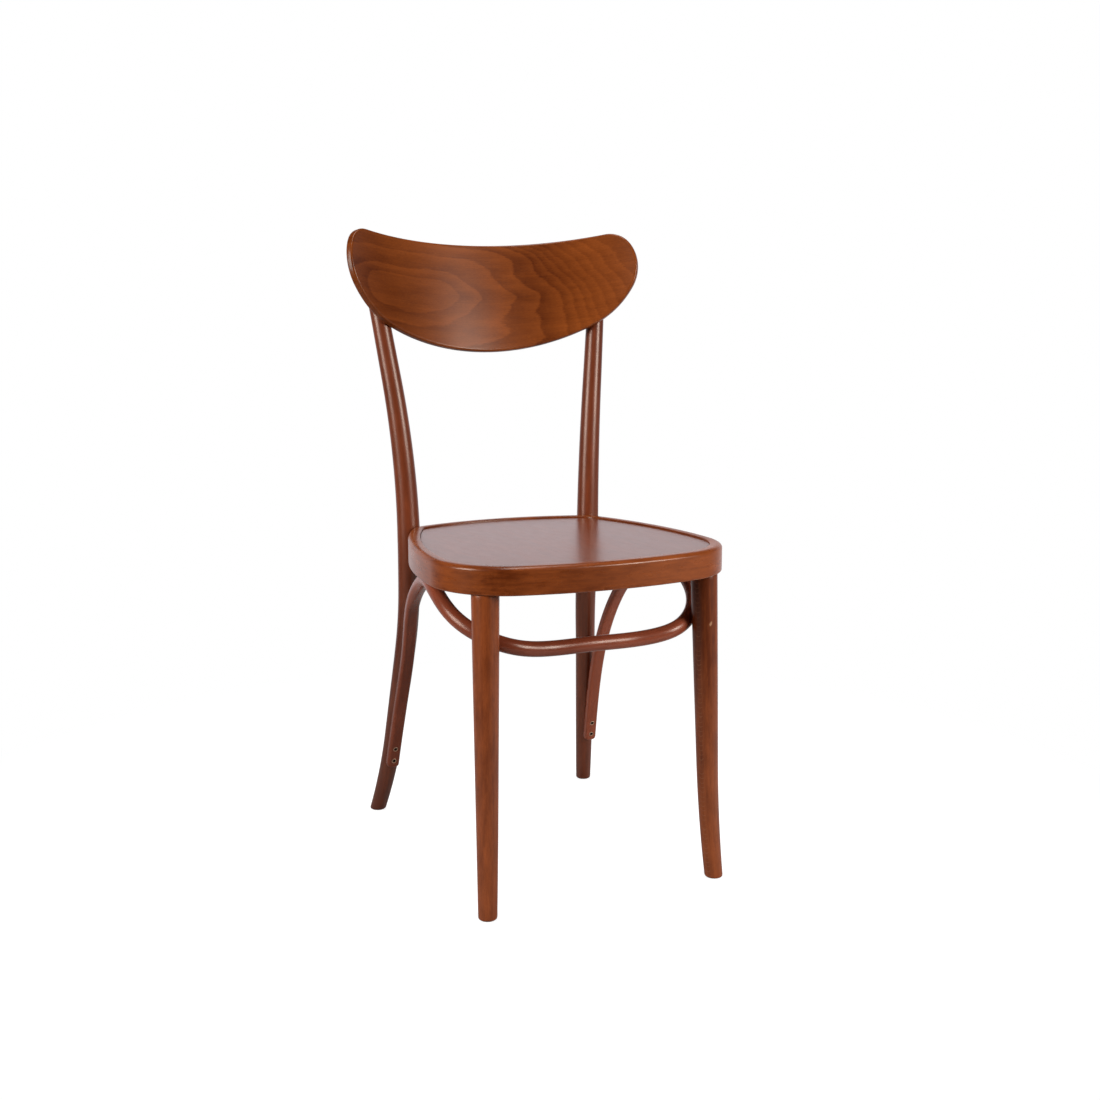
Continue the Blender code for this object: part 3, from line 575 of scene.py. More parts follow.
def through(points, step):
    """Even points and tangents on the smooth curve through the given points."""
    p = np.array(points, float)
    t = np.concatenate(([0], np.cumsum(np.linalg.norm(np.diff(p, axis=0), axis=1))))
    h = np.diff(t)
    n = len(p)
    a = np.eye(n)
    b = np.zeros((n, 3))
    for i in range(1, n - 1):
        a[i, i - 1:i + 2] = h[i - 1], 2 * (h[i - 1] + h[i]), h[i]
        b[i] = 6 * ((p[i + 1] - p[i]) / h[i] - (p[i] - p[i - 1]) / h[i - 1])
    m = np.linalg.solve(a, b)
    u = np.linspace(0, t[-1], int(t[-1] / step) // 2 * 2 + 1)
    k = np.clip(np.searchsorted(t, u, side="right") - 1, 0, n - 2)
    hk = h[k][:, None]
    lo = (t[k + 1] - u)[:, None]
    hi = (u - t[k])[:, None]
    c0 = p[k] / hk - m[k] * hk / 6
    c1 = p[k + 1] / hk - m[k + 1] * hk / 6
    pos = (m[k] * lo ** 3 + m[k + 1] * hi ** 3) / (6 * hk) + c0 * lo + c1 * hi
    tan = (m[k + 1] * hi ** 2 - m[k] * lo ** 2) / (2 * hk) - c0 + c1
    return [Vector(q) for q in pos], [Vector(q).normalized() for q in tan]


def lengths(points):
    steps = [(b - a).length for a, b in zip(points, points[1:])]
    return np.concatenate(([0], np.cumsum(steps)))


def mirrored(vector, side):
    return Vector((side * vector.x, vector.y, vector.z))


# Seat outline

def ring_arcs():
    corner = 180 - FRONT_ARC - SIDE_ARC - REAR_CORNER_ARC - BACK_ARC
    return (
        (FRONT_RADIUS, FRONT_ARC),
        (CORNER_RADIUS, corner),
        (SIDE_RADIUS, SIDE_ARC),
        (REAR_CORNER_RADIUS, REAR_CORNER_ARC),
        (None, BACK_ARC),
    )


def outline_point(heading):
    x, y, turned_by = 0, RING_FRONT_Y, 0
    for radius, arc in ring_arcs():
        if radius is None:
            radius = x / sin(radians(180 - turned_by))
        end = min(heading, turned_by + arc)
        h0, h1 = radians(turned_by), radians(end)
        x += radius * (sin(h1) - sin(h0))
        y += radius * (cos(h0) - cos(h1))
        turned_by += arc
        if heading <= turned_by:
            break
    return x, y


def inward(heading):
    h = radians(heading)
    return -sin(h), cos(h)


def ring_place(heading, inset):
    (x, y), (nx, ny) = outline_point(heading), inward(heading)
    return x + nx * inset, y + ny * inset


def ring_headings():
    headings = [0]
    for radius, arc in ring_arcs():
        fine = DEGREES_APART if radius and radius < 0.2 else DEGREES_APART / 2.5
        steps = ceil(arc / fine)
        headings += [headings[-1] + arc / steps * (i + 1) for i in range(steps)]
    headings[-1] = 180
    return headings


def ring_frame():
    """Edge points and inward directions, from the back centre right round to it again."""
    half = []
    for heading in ring_headings():
        half.append((Vector((*outline_point(heading), 0)), Vector((*inward(heading), 0))))
    other = [(mirrored(p, -1), mirrored(n, -1)) for p, n in half[1:-1]]
    return half[::-1] + other


def outline(offset, z):
    return [(p.x + n.x * offset, p.y + n.y * offset, z) for p, n in ring_frame()]


def edge_at_y(target):
    low, high = FRONT_ARC, 180 - BACK_ARC
    for _ in range(40):
        middle = (low + high) / 2
        if outline_point(middle)[1] < target:
            low = middle
        else:
            high = middle
    return outline_point(low)[0]


# Legs

def front_leg_axis(z):
    x, y = ring_place(FRONT_LEG_HEADING, FRONT_LEG_TOP + FRONT_LEG_INSET)
    drop, flare = RING_BOTTOM - z, FRONT_FLARE_Z - z
    x += FRONT_SPLAY_X * drop + run_out(flare, FRONT_FLARE_X)
    y -= FRONT_SPLAY_Y * drop + run_out(flare, FRONT_FLARE_Y)
    return x, y


def front_leg_radius(z):
    share = min(1, max(0, z / RING_BOTTOM))
    return FRONT_LEG_FOOT + (FRONT_LEG_TOP - FRONT_LEG_FOOT) * share ** FRONT_LEG_SWELL


def rear_leg_axis(z):
    x, y = ring_place(REAR_LEG_HEADING, REAR_NOTCH - REAR_LEG_SEAT - GAP)
    flare = REAR_FLARE_Z - z
    x += run_out(REAR_BEND_Z - z, REAR_BEND_X, REAR_LEAN_X) + run_out(flare, REAR_FLARE_X)
    x += run_out(z - POST_SPREAD_Z, POST_SPREAD, POST_SLOPE_X)
    y += run_out(REAR_RAKE_Z - z, REAR_RAKE_Y, REAR_LEAN_Y) + run_out(flare, REAR_FLARE_Y)
    y += run_out(z - POST_LEAN_Z, POST_LEAN, POST_SLOPE_Y)
    y += run_out(z - POST_BEND_Z, POST_TOP_BEND)
    return x, y


def rear_leg_radius(z):
    if z < LEG_SWELL_Z:
        share = max(0, z / LEG_SWELL_Z)
        return REAR_LEG_FOOT + (REAR_LEG_SEAT - REAR_LEG_FOOT) * share ** REAR_LEG_SWELL
    share = (z - LEG_SWELL_Z) / (POST_TOP_Z - LEG_SWELL_Z)
    return REAR_LEG_SEAT + (REAR_LEG_TOP - REAR_LEG_SEAT) * share


def rounded(z, edge, up, steps=6):
    """Heights and insets of a rounded end at z, which lies below the leg when up is 1."""
    rows = [(z + up * edge * rise, edge * inset) for rise, inset in quarter(steps)]
    return rows if up > 0 else rows[::-1]


def even(low, high, step):
    count = max(1, round((high - low) / step))
    return [(low + (high - low) * i / count, 0) for i in range(1, count)]


def leg_path(axis, radius, side, top, top_edge, top_steps):
    """Level sections round a leaning axis, stretched so that the leg stays round."""
    heights = rounded(0, FOOT_EDGE, 1) + even(FOOT_EDGE, top - top_edge, LEG_STEP)
    rows = []
    for z, inset in heights + rounded(top, top_edge, -1, top_steps):
        x, y = axis(z)
        (x0, y0), (x1, y1) = axis(z - SLOPE_STEP), axis(z + SLOPE_STEP)
        slope = Vector((x1 - x0, y1 - y0, 0)) / (2 * SLOPE_STEP)
        stretch = sqrt(1 + slope.length_squared) - 1
        lean = slope.normalized() if slope.length > 1e-6 else Vector((1, 0, 0))
        ex = Vector((1, 0, 0)) + lean * (lean.x * stretch)
        ey = Vector((0, 1, 0)) + lean * (lean.y * stretch)
        place = mirrored(Vector((x, y, z)), side)
        rows.append((place, mirrored(ex, side), mirrored(ey, side), z, radius(z) - inset))
    *frame_rows, sizes = zip(*rows)
    return path_line("leg_path", *frame_rows, size=sizes)


def round_section():
    return section_line("round_section", [(cos(a), sin(a)) for a in circle(LEG_SIDES, 0.5)])


# Backrest

def back_frame():
    lean = radians(BACK_LEAN)
    up = Vector((0, sin(lean), cos(lean)))
    back = Vector((0, cos(lean), -sin(lean)))
    x, y = rear_leg_axis(BACK_SEAT_Z)
    reach = BACK_RADIUS + BACK_THICKNESS + rear_leg_radius(BACK_SEAT_Z) - BACK_BITE
    depth = sqrt(reach ** 2 - x ** 2) - BACK_RADIUS
    top_y = y - (depth + (BACK_SEAT_Z - BACK_TOP_Z) * sin(lean)) / cos(lean)
    return Vector((0, top_y, BACK_TOP_Z)), up, back


def shell_outline():
    """The flat shape on the +X side, from the top centre to the bottom centre."""
    arcs = (
        (-BACK_TOP_RADIUS, -asin(BACK_HALF_SPAN / BACK_TOP_RADIUS), 40),
        (BACK_HORN_RADIUS, radians(BACK_HORN_ARC), 24),
        (BACK_SIDE_RADIUS, radians(BACK_SIDE_ARC), 24),
        (BACK_UNDER_RADIUS, radians(BACK_UNDER_ARC), 24),
        (None, None, 40),
    )
    heading, points = 0, [(0, 0)]
    for radius, arc, steps in arcs:
        s0, t0 = points[-1]
        if radius is None:
            arc = heading + pi
            radius = s0 / sin(arc)
        for i in range(1, steps + 1):
            ahead = heading - arc * i / steps
            s = s0 + radius * (sin(heading) - sin(ahead))
            points.append((s, t0 + radius * (cos(ahead) - cos(heading))))
        heading -= arc
    points[-1] = (0, points[-1][1])
    return points


def shell(name, edge, grow_by=0, strips=120, bands=44):
    """Flat plate with rounded edges, sliced both ways and bent round the sitter."""
    right = shell_outline()
    left = [(-s, t) for s, t in reversed(right[1:-1])]
    bm = bmesh.new()
    plate = bm.faces.new([bm.verts.new((s, t, -grow_by)) for s, t in right + left])
    out = bmesh.ops.extrude_face_region(bm, geom=[plate])
    lifted = [v for v in out["geom"] if isinstance(v, bmesh.types.BMVert)]
    bmesh.ops.translate(bm, verts=lifted, vec=(0, 0, BACK_THICKNESS + 2 * grow_by))
    bmesh.ops.recalc_face_normals(bm, faces=bm.faces)
    if edge:
        rims = [e for e in bm.edges if abs(e.verts[0].co.z - e.verts[1].co.z) < 1e-9]
        bmesh.ops.bevel(bm, geom=rims, offset=edge, segments=7, profile=0.5, affect="EDGES")
        wide = [f for f in bm.faces if len(f.verts) > 8]
        bmesh.ops.inset_region(bm, faces=wide, thickness=0.0005, use_even_offset=True)
    half, span = strips // 2, BACK_HALF_SPAN + BACK_HORN_RADIUS
    above = 0.02
    tall = above - min(t for _, t in right)
    planes = [((span * i / half, 0, 0), (1, 0, 0)) for i in range(1 - half, half)]
    planes += [((0, above - tall * i / bands, 0), (0, 1, 0)) for i in range(1, bands)]
    for place, normal in planes:
        geom = list(bm.verts) + list(bm.edges) + list(bm.faces)
        bmesh.ops.bisect_plane(bm, geom=geom, dist=1e-6, plane_co=place, plane_no=normal)
    top, up, back = back_frame()
    for v in bm.verts:
        s, t, depth = v.co
        reach = BACK_RADIUS + depth
        angle = s / BACK_RADIUS
        across = Vector((reach * sin(angle), 0, 0))
        v.co = top + up * t + across + back * (reach * cos(angle) - BACK_RADIUS)
    return from_bmesh(name, bm)


def note_grain(mesh, values, domain="POINT"):
    """Stores the place in the blank: across, through and along the fibres."""
    old = mesh.attributes.get("grain")
    if old:
        mesh.attributes.remove(old)
    data = mesh.attributes.new("grain", "FLOAT_VECTOR", domain).data
    data.foreach_set("vector", np.array(values, np.float32).ravel())


def vectors(data, key):
    values = np.zeros(len(data) * 3, np.float32)
    data.foreach_get(key, values)
    return values.reshape(-1, 3)


def flat_again(mesh):
    """Where the shell's points lie on the flat plate: up it, through it and across it."""
    top, up, back = [np.array(v) for v in back_frame()]
    place = vectors(mesh.vertices, "co") - top
    x, sunk = place[:, 0], place @ back + BACK_RADIUS
    depth = np.hypot(x, sunk) - BACK_RADIUS
    return np.stack((place @ up, depth, np.arctan2(x, sunk) * BACK_RADIUS), 1)


# Brace hoop

def touch_direction():
    angle = radians(FRONT_TOUCH_ANGLE)
    return Vector((-cos(angle), sin(angle), 0))


def front_touch():
    x, y = front_leg_axis(FRONT_TOUCH_Z)
    reach = front_leg_radius(FRONT_TOUCH_Z) + ROD_RADIUS + GAP
    return Vector((x, y, FRONT_TOUCH_Z)) + touch_direction() * reach


def brace_stations():
    x, y = rear_leg_axis(STRAP_FOOT_Z)
    seat = rear_leg_radius(STRAP_FOOT_Z) + STRAP_THICKNESS / 2 - STRAP_BITE + GAP
    stations = [(x + STRAP_OUT, y - seat, STRAP_FOOT_Z)]
    for z, forward, outward in STRAP_RISE:
        x, y = rear_leg_axis(z)
        stations.append((x + outward, y - forward, z))
    top = edge_at_y(ARCH_TOP_Y) - ARCH_INSET
    return stations + [
        (top - ARCH_REAR_IN, ARCH_REAR_Y, RING_BOTTOM - ARCH_REAR_DROP),
        (top, ARCH_TOP_Y, RING_BOTTOM - GAP - ROD_RADIUS + ARCH_FLAT),
        (top - ARCH_FRONT_IN, ARCH_FRONT_Y, RING_BOTTOM - ARCH_FRONT_DROP),
        tuple(front_touch()),
        (BAR_CORNER_X, BAR_Y - BAR_CORNER_FORWARD, BAR_Z + BAR_CORNER_RISE),
        (BAR_SPREAD, BAR_Y, BAR_Z),
        (0, BAR_Y, BAR_Z),
    ]


def brace_path():
    """Points and the frame of the left half, strap foot to front centre."""
    half = brace_stations()
    both = half + [(-x, y, z) for x, y, z in reversed(half[:-1])]
    points, tangents = through(both, ROD_STEP)
    middle = len(points) // 2
    points, tangents = points[:middle + 1], tangents[:middle + 1]
    points[-1].x = 0
    tangents[-1] = Vector((-1, 0, 0))
    back = Vector((0, 1, 0))
    frames = []
    for tangent in tangents:
        back = (back - tangent * back.dot(tangent)).normalized()
        frames.append((back.cross(tangent), back.copy()))
    return points, frames


def strap_point(z):
    points, frames = brace_path()
    for low, high, (_, back) in zip(points, points[1:], frames):
        if low.z <= z <= high.z:
            return low.lerp(high, (z - low.z) / (high.z - low.z)), back
    return points[0], UP


def brace_sections(room=0):
    """The round rod's section and the flattened strap's, point for point."""
    points = range(ROD_QUARTER + 1)
    steps = [corner + 0.03 + 0.94 * i / ROD_QUARTER for corner in range(4) for i in points]
    turns = [(cos(pi / 2 * step), sin(pi / 2 * step)) for step in steps]
    rod, corner = ROD_RADIUS + room, STRAP_CORNER + room
    wide, deep = STRAP_WIDTH / 2 + room - corner, STRAP_THICKNESS / 2 + room - corner
    strap = [(copysign(wide, c) + corner * c, copysign(deep, s) + corner * s) for c, s in turns]
    return section_line("brace_section", [(rod * c, rod * s) for c, s in turns], strap)


def strap_share(point):
    if point.y < ARCH_REAR_Y:
        return 0
    return 1 - smooth_step(point.z, STRAP_FULL_Z, STRAP_ROUND_Z)


def brace_line(below=None):
    """Path of the hoop, or of one strap's lower end with a little added below it."""
    points, frames = brace_path()
    rows = [(p, w, b, strap_share(p)) for p, (w, b) in zip(points, frames)]
    (first, *frame_there), rest = rows[0], rows[1:]
    up = (rest[0][0] - first).normalized()
    if below:
        rows = [(first - up * GAP, *frame_there)] + [row for row in rest if row[0].z < below]
    else:
        rows = [(first + up * (STRAP_END_ROUNDING * rise), *frame_there) for rise, _ in quarter(8)]
        rows += [row for row in rest if (row[0] - first).length > STRAP_END_ROUNDING * 1.2]
        rows += [(*[mirrored(v, -1) for v in row[:3]], row[3]) for row in reversed(rows[:-1])]
    centres, across, upward, pressed = zip(*rows)
    along = lengths(centres)
    ends = {}
    if not below:
        end = np.minimum(along, along[-1] - along)
        short = 1 - np.sqrt(1 - np.maximum(0, 1 - end / STRAP_END_ROUNDING) ** 2)
        ends["taper"] = 1 - STRAP_END_ROUNDING * short / (STRAP_WIDTH / 2)
        ends["size"] = 1 - STRAP_END_EASE * np.maximum(0, 1 - end / STRAP_END_ARRIS) ** 2
    return path_line("brace_path", centres, across, upward, along, pressed=pressed, **ends)


# Finishes

def new_finish(name):
    mat = bpy.data.materials.new(name)
    mat.use_nodes = True
    return mat, Graph(mat.node_tree), mat.node_tree.nodes["Principled BSDF"]


def shade(color, red, green, blue):
    return (color[0] * red, color[1] * green, color[2] * blue, 1)


def grey(value):
    return (value, value, value, 1)


def solid_figure(g, x, y, z, warp):
    """Growth rings of a solid blank whose pith lies outside it: long soft streaks."""
    far = g.join(x + 0.034 + warp * 0.022, y - 0.021 + warp * 0.014, z * 0.004).vector("LENGTH")
    band = (far / 0.0058).math("FRACT")
    return (band ** 1.5 - band.between(0.8, 1) - 0.3) * 0.16


def board_figure(x, warp):
    """Quiet veneer of the seat: broad soft bands from front to back."""
    band = (x * 16 + warp * 1.6).math("FRACT")
    return (band - band.between(0.85, 1) - 0.45) * 0.25


def oval_figure(g, t, s, grain):
    """Peeled veneer: ragged ovals at one end open into wavy bands, light edges before dark."""
    tooth = grain.mottle((760, 1, 60), 3, 0.65) - 0.5
    wave = grain.mottle((40, 1, 12), 1) - 0.5
    high = t - OVAL_T
    above = high.math("GREATER_THAN", 0)
    rise = high.math("ABSOLUTE")
    arm = (rise * 3.3).math("MINIMUM", rise * (above * 0.7 + 1.5) + 0.045 - above * 0.015)
    right = s.between(-0.03, 0.12)
    run = (s - OVAL_S + high * 0.45 * right).math("ABSOLUTE")
    reach = (run ** 3 + arm ** 3) ** (1 / 3)
    lobe = (high * (2 * pi / 0.062)).math("COSINE") * s.between(-0.07, 0.03)
    lobe = lobe * s.between(0.07, 0.13, 0.008, 0.0025)
    reach = reach - lobe + wave * s.between(0.16, 0.06, 0.012, 0.03) + tooth * 0.014
    stops = [(0, grey(0.46))]
    for tip, depth in OVAL_TIPS:
        edge = (tip - OVAL_S) / OVAL_REACH
        stops += [(edge - 0.003, grey(0.5 + depth)), (edge + 0.003, grey(0.5 - depth))]
    bands = g.make("ShaderNodeValToRGB", {"Fac": reach / OVAL_REACH}, stops=stops)
    bands = g.split(bands)[0] - 0.5
    ends = s.between(-0.235, -0.06, -0.24, 0.12) - s.between(0.02, 0.09, 0, 0.3)
    fine = grain.mottle((1200, 1, 240), 3, 0.6) - 0.5
    strong = s.between(-0.08, 0.02, 0.95, 1.15)
    return bands * strong + ends + s.between(0.09, 0.18, 0, 0.32) + wave * 0.15 + fine * 0.75


def shell_edge(depth, grain):
    """Painted highlight along the front arris, and the plies that show in the edge of the moulded
    shell.
    """
    # A thin painted highlight along the rounded front arris
    painted_arris_highlight = depth.between(0.0001, 0.0005) * depth.between(0.0016, 0.0008)
    edge = depth.between(0.0009, 0.002) * depth.between(0.01, 0.0092)
    waver = grain.mottle((30, 30, 30)) - 0.5
    ply = ((depth / 0.0012) + waver * 0.5).math("FRACT").math("PINGPONG", 0.5)
    return painted_arris_highlight * 0.22 + edge * (ply.between(0.02, 0.16) * 0.16 - 0.1)


def stained_beech(name, color, figure="solid", gloss=0.3, contrast=1, mark=None, level=0.5):
    """Beech under a brown stain and satin lacquer; the fibres run along the stored blank's Z."""
    mat, g, shader = new_finish(name)
    grain = g.make("ShaderNodeAttribute", out="Vector", attribute_name="grain")
    x, y, z = g.split(grain)
    cloud = grain.mottle((110, 110, 26), 3, 0.6) - 0.5
    slow = grain.mottle((20, 20, 5)) - 0.5
    streak = grain.mottle((420, 420, 16), 3, 0.6) - 0.5
    fibre = grain.mottle((1500, 1500, 130), 2, 0.6) - 0.5

    # Short dark ray flecks, and pores
    sockets = {"Vector": grain.vector("MULTIPLY", (900, 900, 240)), "Scale": 1}
    cell = g.make("ShaderNodeTexVoronoi", sockets, feature="F1")
    keep = grain.mottle((110, 110, 40))
    if figure == "veneer":
        keep -= 0.2
    fleck = cell.between(0.34, 0.12) * keep.between(0.4, 0.62)
    pore = grain.mottle((2400, 2400, 420), 1).between(0.62, 0.72)

    if figure == "veneer":
        rings = oval_figure(g, x, z, grain) + shell_edge(y, grain)
    elif figure == "panel":
        rings = board_figure(x, cloud)
    else:
        rings = solid_figure(g, x, y, z, cloud)
    cloud = cloud * (0.45 if figure == "veneer" else 1)
    tone = rings + cloud + slow * 0.7 + streak * 0.5 + fibre * 0.5
    tone = tone * contrast + 0.5
    height = fibre + streak * 0.6 - fleck * 0.5 - pore * 0.4
    spot = None
    if mark:
        tone, height, spot = mark(g, grain, tone, height)
    tone = tone.math("MAXIMUM", 0).math("MINIMUM", 1)
    paint = g.mix(tone, shade(color, 0.5, 0.4, 0.3), shade(color, 1.5, 1.6, 1.7))
    paint = g.mix(fleck * 0.3, paint, shade(color, 0.34, 0.26, 0.2))
    paint = g.mix(pore * 0.2, paint, shade(color, 0.38, 0.3, 0.24))
    # Bare wood where a mark is scuffed, and painted glints where a mark gives them
    if spot:
        paint = g.mix(spot, paint, (0.45, 0.22, 0.115, 1))

    # Satin lacquer: a little duller where the stain sank in
    rough = gloss + grain.mottle((90, 90, 40)) * 0.06 + fleck * 0.08
    depth = 0.00001 if figure == "panel" else 0.00006
    bump = g.make("ShaderNodeBump", {"Strength": 0.25, "Distance": depth, "Height": height})
    g.fill(shader, {"Base Color": paint, "Roughness": rough, "Normal": bump, "IOR": 1.46})
    g.fill(shader, {"Specular Tint": (1, 0.84, 0.72, 1), "Specular IOR Level": level})
    if figure == "panel":
        g.fill(shader, {"Coat Weight": 0.66, "Coat Roughness": 0.26})
    return mat


def ring_marks(g, grain, tone, height):
    """A dark patch where the scarf joint near one front corner took the stain darker, and the
    front lighter towards the chair's left; painted shade in patches along the bottom edge, and
    painted shade along the rim's inner edge and in the rebate beneath the panel.
    """
    # Painted shade along the rim's inner edge and in the rebate beneath the panel
    rebate_shade = g.split(grain)[0].between(RIM_WIDTH - 0.0012, RIM_WIDTH - 0.0002)
    place = g.place()
    x, y, z = g.split(place)
    patch = place.mottle((60, 60, 110), 3, 0.65) - 0.5
    across = (x + 0.147 + patch * 0.05) / 0.026
    front = y.between(-0.12, -0.18)
    scarf = (across * across * -1).math("EXPONENT") * front
    light = x.between(-0.06, 0.07) * front
    # Painted shade in patches along the ring's bottom edge
    painted_shade = z.between(RING_BOTTOM + 0.008, RING_BOTTOM) * patch.between(-0.05, 0.2)
    tone = tone - scarf * (0.34 + patch) + light * 0.28 - painted_shade * 0.3 - rebate_shade * 0.4 - 0.05
    return tone, height, None


def front_leg_marks(g, grain, tone, height):
    """Small crescents left by the lathe on the inner side, lightened as painted glints; one scuff
    down to bare wood; and painted shadow on the inner side of the chair's left leg, deepest under
    the seat.
    """
    x, y, z = g.split(grain)
    inner = x * -0.9 - y * 0.44
    jitter = grain.mottle((0, 0, 160), 1) - 0.5
    bow = x * 0.44 - y * 0.9 + jitter * 0.003
    turn = ((z - bow * bow * 130 + jitter * 0.006) / 0.0066).math("FRACT") - 0.5
    arc = turn.math("ABSOLUTE").between(0.12, 0.04) * bow.math("ABSOLUTE").between(0.0046, 0.0028)
    some = grain.mottle((0, 0, 60)).between(0.3, 0.55)
    marks = arc * inner.math("GREATER_THAN", 0.004) * some
    place = g.place()
    off = place.vector("SUBTRACT", SCUFF).vector("MULTIPLY", (560, 560, 480))
    slant = off.vector("DOT_PRODUCT", (0.6, -0.27, 0.75))
    off = off.vector("SUBTRACT", g.join(slant * 0.3, slant * -0.135, slant * 0.375))
    off = off.vector("ADD", g.noise(place, 900, out=1)).vector("SUBTRACT", (0.5, 0.5, 0.5))
    spot = off.vector("LENGTH").between(1.25, 0.75)
    px, _, pz = g.split(place)
    # Painted shadow on the inner side of the chair's left leg, deepest under the seat
    painted_shade = inner.between(-0.01, 0.012) * px.between(0, 0.1) * pz.between(0.1, 0.4)
    # Bare wood of the scuff, and a painted glint on the lathe crescents
    scuff_and_glint = spot.math("MAXIMUM", marks * 0.17)
    return tone - painted_shade * 0.55, height + marks * 0.6 - spot, scuff_and_glint


def post_marks(g, _, tone, height):
    """Darker towards the feet, and painted shade low on the chair's right side."""
    x, _, z = g.split(g.place())
    low = z.between(0.5, 0.05)
    # Painted shade on the chair's right side, below the seat
    corner = z.between(0.5, 0.26) * x.between(0.05, -0.05)
    return tone - low * 0.07 - corner * 0.36, height, None


def plated_metal(name, bare, worn_and_glint, dirt_and_shade, roughness):
    """Plated steel: dirt and painted shade in the hollows, worn rims lightened further as a
    painted glint, with fine turning marks.
    """
    mat, g, shader = new_finish(name)
    place = g.place()
    wear = g.make("ShaderNodeAttribute", out="Fac", attribute_name="wear")
    cloud = g.noise(place, 900)
    scratch = place.mottle((1200, 1200, 9000))
    # Dark in the hollows: dirt and painted shade; light on the rims: wear and a painted glint
    tint = g.mix(wear.between(0, 0.45), dirt_and_shade, bare)
    tint = g.mix(wear.between(0.55, 1) * cloud.between(0.25, 0.45), tint, worn_and_glint)
    rough = roughness + scratch * 0.16
    sockets = {"Strength": 0.2, "Distance": 0.00005, "Height": scratch + cloud}
    bump = g.make("ShaderNodeBump", sockets)
    g.fill(shader, {"Base Color": tint, "Roughness": rough, "Normal": bump, "Metallic": 0.9})
    return mat


# The stage: floor, surroundings, lamps, camera

CAMERA_PLACE = (-0.7847, -1.7953, 0.7829)
CAMERA_YAW = 24.05
CAMERA_PITCH = 10.05
CAMERA_LENS = 45.75


def lamp(name, place, target, wide, tall, watts, seen=True):
    light = bpy.data.lights.new(name, "AREA")
    light.shape = "RECTANGLE"
    light.size = wide
    light.size_y = tall
    light.energy = watts
    obj = put(name, light)
    obj.location = place
    way = Vector(target) - Vector(place)
    obj.rotation_euler = way.to_track_quat("-Z", "Y").to_euler()
    obj.visible_camera = False
    obj.visible_glossy = seen


def bare_graph(owner):
    owner.use_nodes = True
    owner.node_tree.nodes.clear()
    return Graph(owner.node_tree)


def surroundings():
    """White to the camera; to the chair a white wall behind it and a low one at its left front."""
    world = bpy.data.worlds.new("studio")
    g = bare_graph(world)
    way = g.make("ShaderNodeTexCoord", out="Generated")
    behind = way.vector("DOT_PRODUCT", (0.375, 0.927, 0))
    height = g.split(way)[2]
    wall = behind.math("MAXIMUM", 0) ** 1.6 * height.between(0.42, 0.2, 0.08, 0.97) + 0.012
    aside = way.vector("DOT_PRODUCT", (0.82, -0.57, 0)).math("MAXIMUM", 0)
    wall = wall + aside ** 10 * height.between(0.05, -0.1, 0, 0.6)
    path = g.make("ShaderNodeLightPath", out="Is Camera Ray")
    strength = path.math("MAXIMUM", wall)
    tint = g.mix(path, (0.98, 0.98, 1.04, 1), WHITE)
    back = g.make("ShaderNodeBackground", {"Color": tint, "Strength": strength})
    g.make("ShaderNodeOutputWorld", {"Surface": back})
    bpy.context.scene.world = world


def floor():
    bm = bmesh.new()
    bmesh.ops.create_circle(bm, cap_ends=True, segments=96, radius=1.5)
    bmesh.ops.translate(bm, verts=bm.verts, vec=(0, 0.35, -0.0004))
    mesh = bpy.data.meshes.new("floor")
    bm.to_mesh(mesh)
    bm.free()
    obj = put("floor", mesh)
    mat = bpy.data.materials.new("pale_floor")
    g = bare_graph(mat)
    x, y, _ = g.split(g.place())
    away = g.join(x, y - 0.05, 0).vector("LENGTH")
    # Painted pool of light: the floor lighter towards +X and the front, seen in the wood's
    # reflections and bounce light
    painted_light_pool = (x * 0.87 - y * 0.5).between(0.1, 0.7)
    shine = g.mix(painted_light_pool, grey(0.4), grey(0.68))
    plain = g.make("ShaderNodeBsdfDiffuse", {"Color": shine})
    lifted = g.make("ShaderNodeEmission", {"Color": WHITE, "Strength": 0.8})
    both = g.make("ShaderNodeAddShader", {0: plain, 1: lifted})
    white = g.make("ShaderNodeEmission", {"Color": WHITE, "Strength": 1})
    clear_air = g.make("ShaderNodeBsdfTransparent")
    seen = g.make("ShaderNodeMixShader", {0: away.between(0.35, 1), 1: both, 2: white})
    ray = g.make("ShaderNodeLightPath", out="Is Camera Ray")
    other = g.make("ShaderNodeMixShader", {0: away.between(1, 1.45), 1: plain, 2: clear_air})
    done = g.make("ShaderNodeMixShader", {0: ray, 1: other, 2: seen})
    g.make("ShaderNodeOutputMaterial", {"Surface": done})
    mesh.materials.append(mat)


def stage():
    scene = bpy.context.scene
    scene.view_settings.view_transform = "Standard"
    surroundings()
    floor()
    lamp("left_softbox", (-2.3, -0.34, 1.35), (0, 0, 0.55), 1, 1.6, 62)
    lamp("right_softbox", (1.5, -2.15, 1.42), (0, 0, 0.55), 0.9, 1.25, 62)
    lamp("overhead_softbox", (0.15, -0.05, 2.5), (0.05, 0, 0.4), 1.6, 0.45, 17)
    lamp("rear_softbox", (0.5, 2.5, 1.7), (0, 0, 0.45), 1.8, 1.4, 30, seen=False)
    data = bpy.data.cameras.new("camera")
    data.sensor_width = 36
    data.lens = CAMERA_LENS
    cam = put("camera", data)
    cam.location = CAMERA_PLACE
    cam.rotation_euler = (radians(90 - CAMERA_PITCH), 0, radians(-CAMERA_YAW))
    scene.camera = cam


# The chair

def hold(obj, nodes, finish=None):
    """The piece takes the place of its solids and rides with the chair."""
    if finish:
        obj.data.materials.clear()
        obj.data.materials.append(finish)
    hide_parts(*nodes)
    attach(obj, "root")


